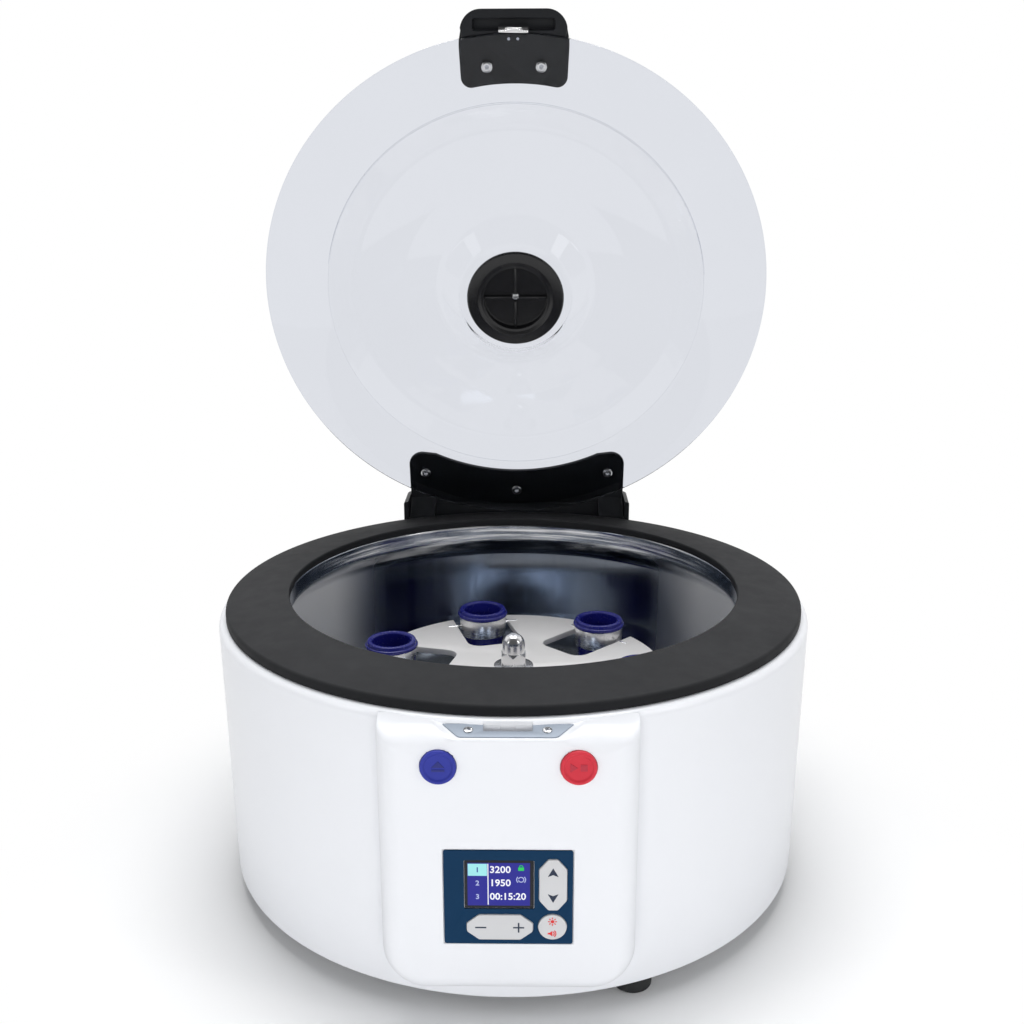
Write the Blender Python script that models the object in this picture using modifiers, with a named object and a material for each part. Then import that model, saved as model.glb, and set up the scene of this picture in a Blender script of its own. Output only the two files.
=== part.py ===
"""Benchtop centrifuge with a clear lid, a swing-out rotor and six buckets.

Metres, +Z up. The origin is on the bench, on the rotor's axis, and the control panel faces -Y.
The lid stands open at rest. Lid pieces are drawn closed and turned open about the hinge axis.
"""

import math

import bmesh
import bpy
import numpy as np
from mathutils import Matrix, Vector

# Clearances and finishes that many pieces share
GAP = 0.0003
RUNNING_GAP = 0.0003
CUT_OVERRUN = 0.010
SMALL_EDGE = 0.0006
SMOOTH_ANGLE = math.radians(35)
ROUND_STEPS = 48
MEDIUM_STEPS = 24
SMALL_STEPS = 12
HEAD_STEPS = 10
BUCKET_STEPS = 16
FILLET_STEPS = 3
MERGE_DISTANCE = 0.00001

# Housing
BODY_TOP_RADIUS = 0.2255
BODY_TAPER = 0.0031
BODY_BOTTOM_RADIUS = BODY_TOP_RADIUS - BODY_TAPER
BODY_BOTTOM = 0.0140
BODY_WALL = 0.0030
BODY_BOTTOM_EDGE = 0.0015
DECK_TOP = 0.2131
DECK_THICKNESS = 0.0030
DECK_WIDTH = 0.0325
DECK_INNER_RADIUS = BODY_TOP_RADIUS - DECK_WIDTH
SHOULDER_RADIUS = 0.0062

# Control panel, a raised boss on the front of the housing
PANEL_PROUD = 0.0125
PANEL_FACE = BODY_TOP_RADIUS + PANEL_PROUD
PANEL_HALF_WIDTH = 0.0810
PANEL_BOTTOM = 0.0275
PANEL_SIDE_ROUNDING = 0.0140
PANEL_CORNER_ROUNDING = 0.0300
PANEL_FOOT_ROUNDING = 0.0060
PANEL_LEDGE_INSET = 0.0040
PANEL_LEDGE_BACK = BODY_TOP_RADIUS - PANEL_LEDGE_INSET
PANEL_LEDGE_STEP = 0.0031
PANEL_LEDGE_HIGH = DECK_TOP - PANEL_LEDGE_STEP
PANEL_LEDGE_FALL = 0.0040
PANEL_LEDGE_LOW = PANEL_LEDGE_HIGH - PANEL_LEDGE_FALL
PANEL_LEDGE_ROUNDING = 0.0020
PANEL_LEDGE_WALL = 0.0040
PANEL_ROOT_INSET = 0.0235
PANEL_ROOT = BODY_TOP_RADIUS - PANEL_ROOT_INSET
POST_RADIUS = 0.0035

# Rim gasket
GASKET_SETBACK = 0.0055
GASKET_OUTER_RADIUS = BODY_TOP_RADIUS - GASKET_SETBACK
GASKET_WIDTH = 0.0475
GASKET_INNER_RADIUS = GASKET_OUTER_RADIUS - GASKET_WIDTH
GASKET_OUTER_RISE = 0.0074
GASKET_OUTER_TOP = DECK_TOP + GASKET_OUTER_RISE
GASKET_SLOPE_RISE = 0.0061
GASKET_INNER_TOP = GASKET_OUTER_TOP + GASKET_SLOPE_RISE
GASKET_LIP = 0.0060
GASKET_EDGE = 0.0016

# Rotor bowl
BOWL_STEEL = 0.0012
BOWL_DECK_OVERLAP = 0.0035
BOWL_SKIRT_WIDTH = DECK_INNER_RADIUS + BOWL_DECK_OVERLAP - GASKET_INNER_RADIUS
BOWL_NECK_DROP = 0.0071
BOWL_NECK_BOTTOM = DECK_TOP - BOWL_NECK_DROP
BOWL_DECK_GAP = 0.0030
BOWL_RADIUS = DECK_INNER_RADIUS - BOWL_DECK_GAP
BOWL_SHOULDER_DROP = 0.0140
BOWL_SHOULDER = BOWL_NECK_BOTTOM - BOWL_SHOULDER_DROP
BOWL_SHOULDER_ROUNDING = 0.0060
BOWL_FLOOR = 0.0700
BOWL_FLOOR_ROUNDING = 0.0500
BOWL_CONE_FOOT_RADIUS = 0.0400
BOWL_CONE_SPREAD = 0.0100
BOWL_CONE_TOP_RADIUS = BOWL_CONE_FOOT_RADIUS - BOWL_CONE_SPREAD
BOWL_CONE_HEIGHT = 0.0200
BOWL_CONE_TOP = BOWL_FLOOR + BOWL_CONE_HEIGHT
BOWL_CONE_ROUNDING = 0.0040
BOWL_HOLE_RADIUS = 0.0215

# Base plate and feet
BASE_PLATE_INSET = 0.0005
BASE_PLATE_BOTTOM = BODY_BOTTOM + BASE_PLATE_INSET
BASE_PLATE_THICKNESS = 0.0025
VENT_COUNT = 10
VENT_LENGTH = 0.0400
VENT_WIDTH = 0.0060
VENT_CIRCLE_RADIUS = 0.1500
FOOT_RADIUS = 0.0135
FOOT_EDGE = 0.0025
FOOT_INSET = 0.0184
FOOT_CIRCLE_RADIUS = BODY_BOTTOM_RADIUS - FOOT_INSET
FOOT_FIRST_ANGLE = math.radians(-66)
FOOT_COUNT = 4

# Motor and its suspension
DAMPER_RADIUS = 0.0100
DAMPER_HEIGHT = 0.0130
DAMPER_WAIST = 0.0020
DAMPER_CIRCLE_RADIUS = 0.0700
DAMPER_COUNT = 3
MOTOR_PLATE_RADIUS = 0.0850
MOTOR_PLATE_THICKNESS = 0.0030
MOTOR_RADIUS = 0.0480
MOTOR_HEIGHT = 0.0295
MOTOR_EDGE = 0.0030
MOTOR_NOSE_RADIUS = 0.0180
MOTOR_NOSE_HEIGHT = 0.0195
SHAFT_RADIUS = 0.0060
SHAFT_DEPTH_IN_MOTOR = 0.0160
SHAFT_COLLAR_RADIUS = 0.0115
SHAFT_COLLAR_HEIGHT = 0.0055

# Rotor
PLATE_TOP = 0.1530
PLATE_THICKNESS = 0.0050
PLATE_RADIUS = 0.1200
PLATE_EDGE = 0.0008
HUB_RADIUS = 0.0220
HUB_HEIGHT = 0.0180
BUCKET_COUNT = 6
BUCKET_FIRST_ANGLE = math.radians(46)
BUCKET_CIRCLE_RADIUS = 0.1030
SLOT_HALF_WIDTH = 0.0230
SLOT_INNER_END = 0.0520
SLOT_CORNER = 0.0110
WASHER_RADIUS = 0.0183
WASHER_THICKNESS = 0.0025
NUT_HEX_RADIUS = 0.0110
NUT_HEX_HEIGHT = 0.0108
NUT_DOME_RADIUS = 0.0085
NUT_DOME_NECK = 0.0068
NUT_THREAD_DEPTH = 0.0130

# Swing buckets
CUP_BORE_RADIUS = 0.0155
CUP_WALL = 0.0022
CUP_DEPTH_BELOW_PIVOT = 0.0650
CUP_FLOOR = 0.0025
CUP_BOTTOM_ROUNDING = 0.0060
RIM_RADIUS = 0.0215
RIM_HEIGHT = 0.0058
RIM_EDGE = 0.0018
COLLAR_RADIUS = 0.0200
COLLAR_ABOVE_PIVOT = 0.0080
COLLAR_BELOW_PIVOT = 0.0080
TRUNNION_RADIUS = 0.0025
TRUNNION_REACH = 0.0310

# Lid and its hinge
LID_OPEN_ANGLE = math.radians(75)
LID_REST_GAP = 0.0005
LID_SETBACK = 0.0020
LID_RADIUS = GASKET_OUTER_RADIUS - LID_SETBACK
LID_THICKNESS = 0.0035
LID_RIM_WIDTH = 0.0540
LID_RIM_INNER_RADIUS = LID_RADIUS - LID_RIM_WIDTH
LID_STEP_WIDTH = 0.0220
LID_STEP_INNER_RADIUS = LID_RIM_INNER_RADIUS - LID_STEP_WIDTH
LID_STEP_HEIGHT = 0.0100
LID_DOME_RADIUS = 0.1000
LID_DOME_RISE = 0.0025
LID_BUMP_RADIUS = 0.0680
LID_BUMP_SLOPE = 0.0180
LID_BUMP_FOOT_RADIUS = LID_BUMP_RADIUS - LID_BUMP_SLOPE
LID_BUMP_DEPTH = 0.0030
LID_STEP_ROUNDING = 0.0080
LID_BUMP_ROUNDING = 0.0060
LID_EDGE = 0.0010
PORT_HOLE_RADIUS = 0.0305
HINGE_SETBACK = 0.0069
HINGE_Y = BODY_TOP_RADIUS - HINGE_SETBACK
HINGE_RISE = 0.0003
HINGE_Z = DECK_TOP + HINGE_RISE
HINGE_PIN_RADIUS = 0.0025
HINGE_PIN_HEAD = 0.0003

# Port cup and cap in the middle of the lid
PORT_FLANGE_RADIUS = 0.0427
PORT_FLANGE_THICKNESS = 0.0040
PORT_FLANGE_EDGE = 0.0018
PORT_RECESS_RADIUS = 0.0277
PORT_RECESS_DEPTH = 0.0090
PORT_FLOOR = 0.0025
PORT_RIB_WIDTH = 0.0020
PORT_RIB_HEIGHT = 0.0040
CAP_RADIUS = 0.0330
CAP_HEIGHT = 0.0130
CAP_EDGE = 0.0040
PORT_SCREW_HEAD_RADIUS = 0.0035
PORT_SCREW_HEAD_HEIGHT = 0.0020
PORT_SCREW_REACH = 0.0050

# Screws through the lid
SCREW_HEAD_RADIUS = 0.0046
SCREW_HEAD_HEIGHT = 0.0018
SCREW_HEAD_EDGE = 0.0008
SCREW_SHANK_RADIUS = 0.0020
SCREW_BITE = 0.0028
SCREW_SOCKET_RADIUS = 0.0018
SCREW_SOCKET_DEPTH = 0.0009

# Lid bracket of the hinge
BRACKET_HALF_WIDTH = 0.1015
BRACKET_THICKNESS = 0.0040
BRACKET_REACH = 0.0620
BRACKET_FRONT_Y = LID_RADIUS - BRACKET_REACH
BRACKET_REAR_INSET = 0.0075
BRACKET_REAR_Y = LID_RADIUS - BRACKET_REAR_INSET
BRACKET_ARC_INSET = 0.0430
BRACKET_ARC_RADIUS = LID_RADIUS - BRACKET_ARC_INSET
BRACKET_ARC_HALF_WIDTH = 0.0760
BRACKET_LOBE_ROUNDING = 0.0130
BRACKET_REAR_ROUNDING = 0.0020
ARM_INNER_X = 0.0780
ARM_OUTER_X = 0.1012
ARM_REACH = 0.0236
ARM_FRONT_Y = HINGE_Y - ARM_REACH
ARM_BEND_REACH = 0.0141
ARM_BEND_Y = HINGE_Y - ARM_BEND_REACH
ARM_ROUNDING = 0.0050
BARREL_RADIUS = 0.0065
BARREL_HOUSING_GAP = 0.0004
HINGE_SCREW_SIDE_X = 0.0860
HINGE_SCREW_SIDE_INSET = 0.0425
HINGE_SCREW_SIDE_Y = LID_RADIUS - HINGE_SCREW_SIDE_INSET
HINGE_SCREW_MIDDLE_INSET = 0.0240
HINGE_SCREW_MIDDLE_Y = LID_RADIUS - HINGE_SCREW_MIDDLE_INSET

# Hinge block on the back of the housing
BLOCK_HALF_WIDTH = 0.1055
BLOCK_REACH = 0.0266
BLOCK_REAR_Y = HINGE_Y + BLOCK_REACH
BLOCK_WALL = 0.0034
BLOCK_RISE = 0.0216
BLOCK_TOP = HINGE_Z + BLOCK_RISE
BLOCK_HEIGHT = 0.0850
BLOCK_BOTTOM = BLOCK_TOP - BLOCK_HEIGHT
BLOCK_ROUNDING = 0.0080
BLOCK_TOP_ROUNDING = 0.0050
BLOCK_FOOT_SLOPE = 0.0120
POCKET_DROP = 0.0079
POCKET_FLOOR = HINGE_Z - POCKET_DROP

# Latch on the lid
LATCH_REACH = PANEL_FACE
LATCH_HALF_WIDTH = 0.0435
LATCH_FRONT_HALF_WIDTH = 0.0390
LATCH_REAR_HALF_WIDTH = 0.0400
LATCH_WIDEST_INSET = 0.0260
LATCH_WIDEST_Y = LATCH_REACH - LATCH_WIDEST_INSET
LATCH_LENGTH = 0.0615
LATCH_REAR_Y = LATCH_REACH - LATCH_LENGTH
LATCH_ARC_INSET = 0.0590
LATCH_ARC_RADIUS = LATCH_REACH - LATCH_ARC_INSET
LATCH_ARC_HALF_WIDTH = 0.0280
LATCH_HEIGHT = 0.0120
LATCH_NOSE_GAP = 0.0005
LATCH_NOSE_BOTTOM = DECK_TOP + LATCH_NOSE_GAP
LATCH_FRONT_ROUNDING = 0.0140
LATCH_SIDE_ROUNDING = 0.0300
LATCH_REAR_ROUNDING = 0.0080
LATCH_EDGE = 0.0020
LATCH_RING_GAP = 0.0008
LATCH_RECESS_HALF_WIDTH = 0.0320
LATCH_RECESS_INSET = 0.0072
LATCH_RECESS_FRONT = LATCH_REACH - LATCH_RECESS_INSET
LATCH_RECESS_WIDTH = 0.0086
LATCH_RECESS_BACK = LATCH_RECESS_FRONT - LATCH_RECESS_WIDTH
LATCH_RECESS_DEPTH = 0.0080
LATCH_SCREW_X = 0.0217
LATCH_SCREW_INSET = 0.0454
LATCH_SCREW_Y = LATCH_REACH - LATCH_SCREW_INSET
STRIKER_HALF_WIDTH = 0.0130
STRIKER_INSET = 0.0132
STRIKER_Y = LATCH_REACH - STRIKER_INSET
STRIKER_THICKNESS = 0.0020
STRIKER_DROP = 0.0145
STRIKER_BOTTOM = PANEL_LEDGE_LOW - STRIKER_DROP
STRIKER_WINDOW_HALF_WIDTH = 0.0065
STRIKER_SILL = 0.0040
STRIKER_WINDOW_LOW = STRIKER_BOTTOM + STRIKER_SILL
STRIKER_WINDOW_HEIGHT = 0.0070
STRIKER_WINDOW_HIGH = STRIKER_WINDOW_LOW + STRIKER_WINDOW_HEIGHT
STRIKER_ROUNDING = 0.0020

# Lock under the front of the rim
LOCK_PLATE_THICKNESS = 0.0015
LOCK_PLATE_BACK_HALF_WIDTH = 0.0405
LOCK_PLATE_FRONT_HALF_WIDTH = 0.0300
LOCK_PLATE_ROUNDING = 0.0050
LOCK_PLATE_MARGIN = 0.0010
LOCK_SLOT_HALF_WIDTH = 0.0150
LOCK_SLOT_CLEARANCE = 0.0016
LOCK_SLOT_BACK = STRIKER_Y - STRIKER_THICKNESS / 2 - LOCK_SLOT_CLEARANCE
LOCK_SLOT_INSET = 0.0080
LOCK_SLOT_FRONT = PANEL_FACE - LOCK_SLOT_INSET
LOCK_SCREW_X = 0.0240
LOCK_SCREW_HEAD_RADIUS = 0.0026
LOCK_SCREW_HEAD_HEIGHT = 0.0008
LOCK_SCREW_SHANK_RADIUS = 0.0014
LOCK_SCREW_REACH = 0.0030
PAWL_HALF_WIDTH = 0.0040
PAWL_HEIGHT = 0.0050
PAWL_TIP_GAP = 0.0006
PAWL_TIP = STRIKER_Y - STRIKER_THICKNESS / 2 - PAWL_TIP_GAP
PAWL_LENGTH = 0.0044
PAWL_BACK = PAWL_TIP - PAWL_LENGTH
PAWL_EDGE = 0.0010
SOLENOID_HALF_WIDTH = 0.0140
SOLENOID_DROP = 0.0246
SOLENOID_BOTTOM = DECK_TOP - SOLENOID_DROP
SOLENOID_SETBACK = 0.0028
SOLENOID_FRONT = PAWL_BACK - SOLENOID_SETBACK
SOLENOID_LENGTH = 0.0215
SOLENOID_BACK = SOLENOID_FRONT - SOLENOID_LENGTH
PLUNGER_RADIUS = 0.0035
PLUNGER_INSET = 0.0035
PLUNGER_BACK = SOLENOID_BACK + PLUNGER_INSET
PLUNGER_STROKE = 0.0050

# Round buttons
BUTTON_X = 0.0420
BUTTON_DROP = 0.0180
BUTTON_Z = PANEL_LEDGE_LOW - BUTTON_DROP
BUTTON_RADIUS = 0.0115
BUTTON_PROUD = 0.0022
BUTTON_DEPTH = 0.0100
BUTTON_EDGE = 0.0010
BUTTON_DISH_RADIUS = 0.0085
BUTTON_DISH_DEPTH = 0.0006
BUTTON_FLANGE = 0.0020
BUTTON_FLANGE_THICKNESS = 0.0012

# Keypad with its display window
KEYPAD_HALF_WIDTH = 0.0403
KEYPAD_BOTTOM = 0.0660
KEYPAD_HEIGHT = 0.0660
KEYPAD_TOP = KEYPAD_BOTTOM + KEYPAD_HEIGHT
KEYPAD_THICKNESS = 0.0010
KEYPAD_ROUNDING = 0.0015
WINDOW_X = -0.0057
WINDOW_RISE = 0.0420
WINDOW_Z = KEYPAD_BOTTOM + WINDOW_RISE
WINDOW_HALF_WIDTH = 0.0216
WINDOW_HALF_HEIGHT = 0.0168
WINDOW_DEPTH = 0.0026
WINDOW_ROUNDING = 0.0008
WINDOW_LEDGE = 0.0020
UP_DOWN_X = 0.0279
UP_DOWN_RISE = 0.0422
UP_DOWN_Z = KEYPAD_BOTTOM + UP_DOWN_RISE
UP_DOWN_HALF_WIDTH = 0.0086
UP_DOWN_HALF_HEIGHT = 0.0178
UP_DOWN_SHOULDER = 0.0110
UP_DOWN_TIP = 0.0030
MINUS_PLUS_X = -0.0054
MINUS_PLUS_RISE = 0.0121
MINUS_PLUS_Z = KEYPAD_BOTTOM + MINUS_PLUS_RISE
MINUS_PLUS_HALF_WIDTH = 0.0207
MINUS_PLUS_HALF_HEIGHT = 0.0089
MINUS_PLUS_SHOULDER = 0.0130
MINUS_PLUS_TIP = 0.0030
SETTINGS_X = 0.0276
SETTINGS_RISE = 0.0124
SETTINGS_Z = KEYPAD_BOTTOM + SETTINGS_RISE
SETTINGS_RADIUS = 0.0089
KEY_PROUD = 0.0008
KEY_DEPTH = 0.0050
KEY_ROUNDING = 0.0020

# Control board behind the panel
BOARD_SETBACK = 0.0099
BOARD_FRONT = PANEL_FACE - BOARD_SETBACK
BOARD_THICKNESS = 0.0016
BOARD_HALF_WIDTH = 0.0600
BOARD_MARGIN = 0.0100
BOARD_BOTTOM = KEYPAD_BOTTOM - BOARD_MARGIN
BOARD_SHOULDER_RISE = 0.0180
BOARD_SHOULDER = KEYPAD_TOP + BOARD_SHOULDER_RISE
BOARD_ARM_RISE = 0.0120
BOARD_TOP = BUTTON_Z + BOARD_ARM_RISE
BOARD_ARM_INNER = 0.0280
BOARD_ARM_OUTER = 0.0560
BOARD_SCREEN_HALF_WIDTH = 0.0190
BOARD_SCREEN_HALF_HEIGHT = 0.0140
BOARD_SCREEN_SETBACK = 0.0004
POST_X = 0.0550
POST_INSET = 0.0060
POST_LOW_Z = BOARD_BOTTOM + POST_INSET
POST_HIGH_Z = BOARD_SHOULDER - POST_INSET

# Mains inlet at the back
PAD_HALF_WIDTH = 0.0400
PAD_BOTTOM = 0.0350
PAD_HEIGHT = 0.0500
PAD_TOP = PAD_BOTTOM + PAD_HEIGHT
PAD_PROUD = 0.0065
PAD_FACE = BODY_TOP_RADIUS + PAD_PROUD
PAD_ROOT_INSET = 0.0155
PAD_ROOT = BODY_TOP_RADIUS - PAD_ROOT_INSET
PAD_WALL = 0.0030
PAD_ROUNDING = 0.0040
INLET_HALF_WIDTH = 0.0310
INLET_RISE = 0.0250
INLET_Z = PAD_BOTTOM + INLET_RISE
INLET_HALF_HEIGHT = 0.0160
INLET_FLANGE = 0.0028
INLET_ROUNDING = 0.0030
INLET_BODY_MARGIN = 0.0030
INLET_BODY_DEPTH = 0.0250
SOCKET_X = -0.0110
SOCKET_HALF_WIDTH = 0.0125
SOCKET_HALF_HEIGHT = 0.0085
SOCKET_DEPTH = 0.0160
SOCKET_CORNER = 0.0040
PIN_HALF_WIDTH = 0.0010
PIN_HALF_HEIGHT = 0.0020
PIN_LENGTH = 0.0110
PIN_SPACING = 0.0070
PIN_RAISE = 0.0020
SWITCH_X = 0.0185
SWITCH_HALF_WIDTH = 0.0065
SWITCH_HALF_HEIGHT = 0.0095
SWITCH_DEPTH = 0.0120
SWITCH_PIVOT_DEPTH = 0.0040
SWITCH_BODY_DEPTH = 0.0060
SWITCH_PROUD = 0.0022
SWITCH_SIDE_GAP = 0.0011
SWITCH_TILT = math.radians(6)


# Sizes worked out from the ones above
LID_PLANE = GASKET_INNER_TOP + LID_REST_GAP
LID_TOP = LID_PLANE + LID_THICKNESS
PORT_SEAT = LID_PLANE - LID_BUMP_DEPTH
GASKET_BOTTOM = DECK_TOP + GAP
BOWL_TOP = GASKET_INNER_TOP - GASKET_LIP - GAP
BASE_PLATE_TOP = BASE_PLATE_BOTTOM + BASE_PLATE_THICKNESS
DAMPER_BOTTOM = BASE_PLATE_TOP + GAP
MOTOR_PLATE_BOTTOM = DAMPER_BOTTOM + DAMPER_HEIGHT + GAP
MOTOR_BOTTOM = MOTOR_PLATE_BOTTOM + MOTOR_PLATE_THICKNESS + GAP
MOTOR_TOP = MOTOR_BOTTOM + MOTOR_HEIGHT
NOSE_TOP = MOTOR_TOP + MOTOR_NOSE_HEIGHT
PLATE_BOTTOM = PLATE_TOP - PLATE_THICKNESS
HUB_BOTTOM = PLATE_BOTTOM - HUB_HEIGHT
WASHER_BOTTOM = PLATE_TOP + GAP
NUT_BOTTOM = WASHER_BOTTOM + WASHER_THICKNESS + GAP
NUT_HEX_TOP = NUT_BOTTOM + NUT_HEX_HEIGHT
SHAFT_TOP = NUT_BOTTOM + NUT_THREAD_DEPTH - GAP
SHAFT_BORE_RADIUS = SHAFT_RADIUS + RUNNING_GAP
LEDGE_RUN = PANEL_FACE - PANEL_LEDGE_BACK
LEDGE_DROP = PANEL_LEDGE_HIGH - PANEL_LEDGE_LOW
LEDGE_SLOPE = math.atan2(LEDGE_DROP, LEDGE_RUN)
LEDGE_LENGTH = math.hypot(LEDGE_DROP, LEDGE_RUN)
PAWL_Z = (STRIKER_WINDOW_LOW + STRIKER_WINDOW_HIGH) / 2

# Colours, as the photograph shows them
WHITE = (0.86, 0.87, 0.90)
BLACK = (0.020, 0.021, 0.023)
RUBBER_GREY = (0.045, 0.047, 0.050)
STEEL = (0.62, 0.63, 0.65)
ALUMINIUM = (0.75, 0.76, 0.78)
NAVY = (0.011, 0.038, 0.092)
CUP_BLUE = (0.014, 0.018, 0.170)
BUTTON_BLUE = (0.030, 0.045, 0.330)
BUTTON_RED = (0.560, 0.030, 0.055)
KEY_GREY = (0.58, 0.60, 0.63)
CLEAR = (0.80, 0.83, 0.88)
BOARD_GREEN = (0.020, 0.130, 0.050)
COPPER = (0.55, 0.24, 0.10)
GLASS_BLACK = (0.010, 0.012, 0.020)


def clear_scene():
    """Remove everything the new file holds."""
    for obj in list(bpy.data.objects):
        bpy.data.objects.remove(obj, do_unlink=True)


clear_scene()
PARTS = bpy.data.collections.new("benchtop_centrifuge")
CUTTERS = bpy.data.collections.new("cutters")
bpy.context.scene.collection.children.link(PARTS)
bpy.context.scene.collection.children.link(CUTTERS)


def material(name, colour, roughness, metallic=0.0, alpha=1.0):
    """A plain Principled material."""
    made = bpy.data.materials.new(name)
    made.use_nodes = True
    shader = made.node_tree.nodes["Principled BSDF"]
    shader.inputs["Base Color"].default_value = (*colour, 1)
    shader.inputs["Roughness"].default_value = roughness
    shader.inputs["Metallic"].default_value = metallic
    shader.inputs["Alpha"].default_value = alpha
    return made


WHITE_PAINT = material("white_paint", WHITE, 0.35)
BLACK_PLASTIC = material("black_plastic", BLACK, 0.40)
GASKET_RUBBER = material("gasket_rubber", RUBBER_GREY, 0.75)
FOOT_RUBBER = material("foot_rubber", BLACK, 0.85)
POLISHED_STEEL = material("polished_steel", STEEL, 0.18, 1.0)
BRIGHT_ALUMINIUM = material("bright_aluminium", ALUMINIUM, 0.30, 1.0)
NAVY_FILM = material("navy_film", NAVY, 0.45)
BLUE_PLASTIC = material("blue_plastic", CUP_BLUE, 0.35)
BLUE_BUTTON = material("blue_button", BUTTON_BLUE, 0.45)
RED_BUTTON = material("red_button", BUTTON_RED, 0.45)
GREY_KEY = material("grey_key", KEY_GREY, 0.50)
CLEAR_PLASTIC = material("clear_plastic", CLEAR, 0.06, 0.0, 0.35)
GREEN_BOARD = material("green_board", BOARD_GREEN, 0.50)
COPPER_COIL = material("copper_coil", COPPER, 0.45, 0.6)
DISPLAY_GLASS = material("display_glass", GLASS_BLACK, 0.10)


def finish(obj, finish_material, collection=None):
    """Put a new object in the model with its material, and hide it if it is a cutter."""
    home = collection or PARTS
    for old in list(obj.users_collection):
        old.objects.unlink(obj)
    home.objects.link(obj)
    if finish_material:
        obj.data.materials.append(finish_material)
    if home is CUTTERS:
        obj.hide_render = True
        obj.display_type = "WIRE"
    return obj


def mesh_object(name, mesh, finish_material, collection=None):
    """An object for a finished mesh, shaded smooth up to the sharp angle."""
    mesh.shade_smooth()
    mesh.set_sharp_from_angle(angle=SMOOTH_ANGLE)
    return finish(bpy.data.objects.new(name, mesh), finish_material, collection)


def rounded(points, radii, steps=FILLET_STEPS):
    """The outline through points with each corner replaced by an arc of its radius."""
    count = len(points)
    outline = []
    for index, (point, radius) in enumerate(zip(points, radii)):
        corner = Vector(point)
        before = Vector(points[index - 1]) - corner
        after = Vector(points[(index + 1) % count]) - corner
        turn = before.angle(after) if radius else 0
        if not radius or abs(math.pi - turn) < SMOOTH_ANGLE / 100:
            outline.append(tuple(corner))
            continue
        reach = min(radius / math.tan(turn / 2), before.length / 2, after.length / 2)
        fitted = reach * math.tan(turn / 2)
        middle = corner + (before.normalized() + after.normalized()).normalized() * (
            fitted / math.sin(turn / 2)
        )
        start = corner + before.normalized() * reach - middle
        end = corner + after.normalized() * reach - middle
        sweep = start.angle_signed(end)
        for step in range(steps + 1):
            outline.append(tuple(middle + Matrix.Rotation(-sweep * step / steps, 2) @ start))
    return outline


def circle(centre, radius, steps=MEDIUM_STEPS):
    """Points round a circle."""
    angles = np.linspace(0, 2 * math.pi, steps, endpoint=False)
    return [(centre[0] + radius * math.cos(a), centre[1] + radius * math.sin(a)) for a in angles]


def turned(name, profile, finish_material, closed=False, steps=ROUND_STEPS, collection=None):
    """A profile of (radius, height) points turned about Z, given down its outer side."""
    count = len(profile)
    edges = [(i, i + 1) for i in range(count - 1)] + ([(count - 1, 0)] if closed else [])
    mesh = bpy.data.meshes.new(name)
    mesh.from_pydata([(radius, 0, height) for radius, height in profile], edges, [])
    obj = finish(bpy.data.objects.new(name, mesh), finish_material, collection)
    screw = obj.modifiers.new("turn", "SCREW")
    screw.angle = 2 * math.pi
    screw.steps = screw.render_steps = steps
    screw.use_merge_vertices = True
    screw.merge_threshold = MERGE_DISTANCE
    return obj


def solidify(obj, thickness, side):
    """Give a surface its wall, on the side its faces look to (1) or away from (-1)."""
    wall = obj.modifiers.new("wall", "SOLIDIFY")
    wall.thickness = thickness
    wall.offset = side
    wall.use_even_offset = True
    wall.use_quality_normals = True
    return obj


def bevel(obj, width, segments=2):
    """Round the sharp edges."""
    edge = obj.modifiers.new("edge", "BEVEL")
    edge.width = width
    edge.segments = segments
    edge.limit_method = "ANGLE"
    edge.angle_limit = SMOOTH_ANGLE
    edge.use_clamp_overlap = True
    return obj


def boolean(obj, operation, others):
    """Join, cut or keep the common part of obj with each of the other shapes."""
    for other in others:
        step = obj.modifiers.new(operation.lower(), "BOOLEAN")
        step.operation = operation
        step.solver = "EXACT"
        step.object = other
        if CUTTERS not in other.users_collection:
            finish(other, None, CUTTERS)
    return obj


def cut(obj, *cutters):
    return boolean(obj, "DIFFERENCE", cutters)


def join(obj, *others):
    return boolean(obj, "UNION", others)


def common(obj, *others):
    return boolean(obj, "INTERSECT", others)


def box(name, low, high, finish_material=None, collection=None):
    """A box from its low corner to its high corner."""
    size = Vector(high) - Vector(low)
    middle = (Vector(high) + Vector(low)) / 2
    bm = bmesh.new()
    place = Matrix.Translation(middle) @ Matrix.Diagonal((*size, 1))
    bmesh.ops.create_cube(bm, size=1, matrix=place)
    mesh = bpy.data.meshes.new(name)
    bm.to_mesh(mesh)
    bm.free()
    return mesh_object(name, mesh, finish_material, collection)


def rod(name, radius, start, end, finish_material=None, steps=SMALL_STEPS, collection=None):
    """A cylinder from start to end."""
    run = Vector(end) - Vector(start)
    place = Matrix.Translation((Vector(start) + Vector(end)) / 2)
    place = place @ run.to_track_quat("Z", "Y").to_matrix().to_4x4()
    bm = bmesh.new()
    bmesh.ops.create_cone(
        bm, cap_ends=True, segments=steps, radius1=radius, radius2=radius, depth=run.length, matrix=place
    )
    mesh = bpy.data.meshes.new(name)
    bm.to_mesh(mesh)
    bm.free()
    return mesh_object(name, mesh, finish_material, collection)


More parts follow.
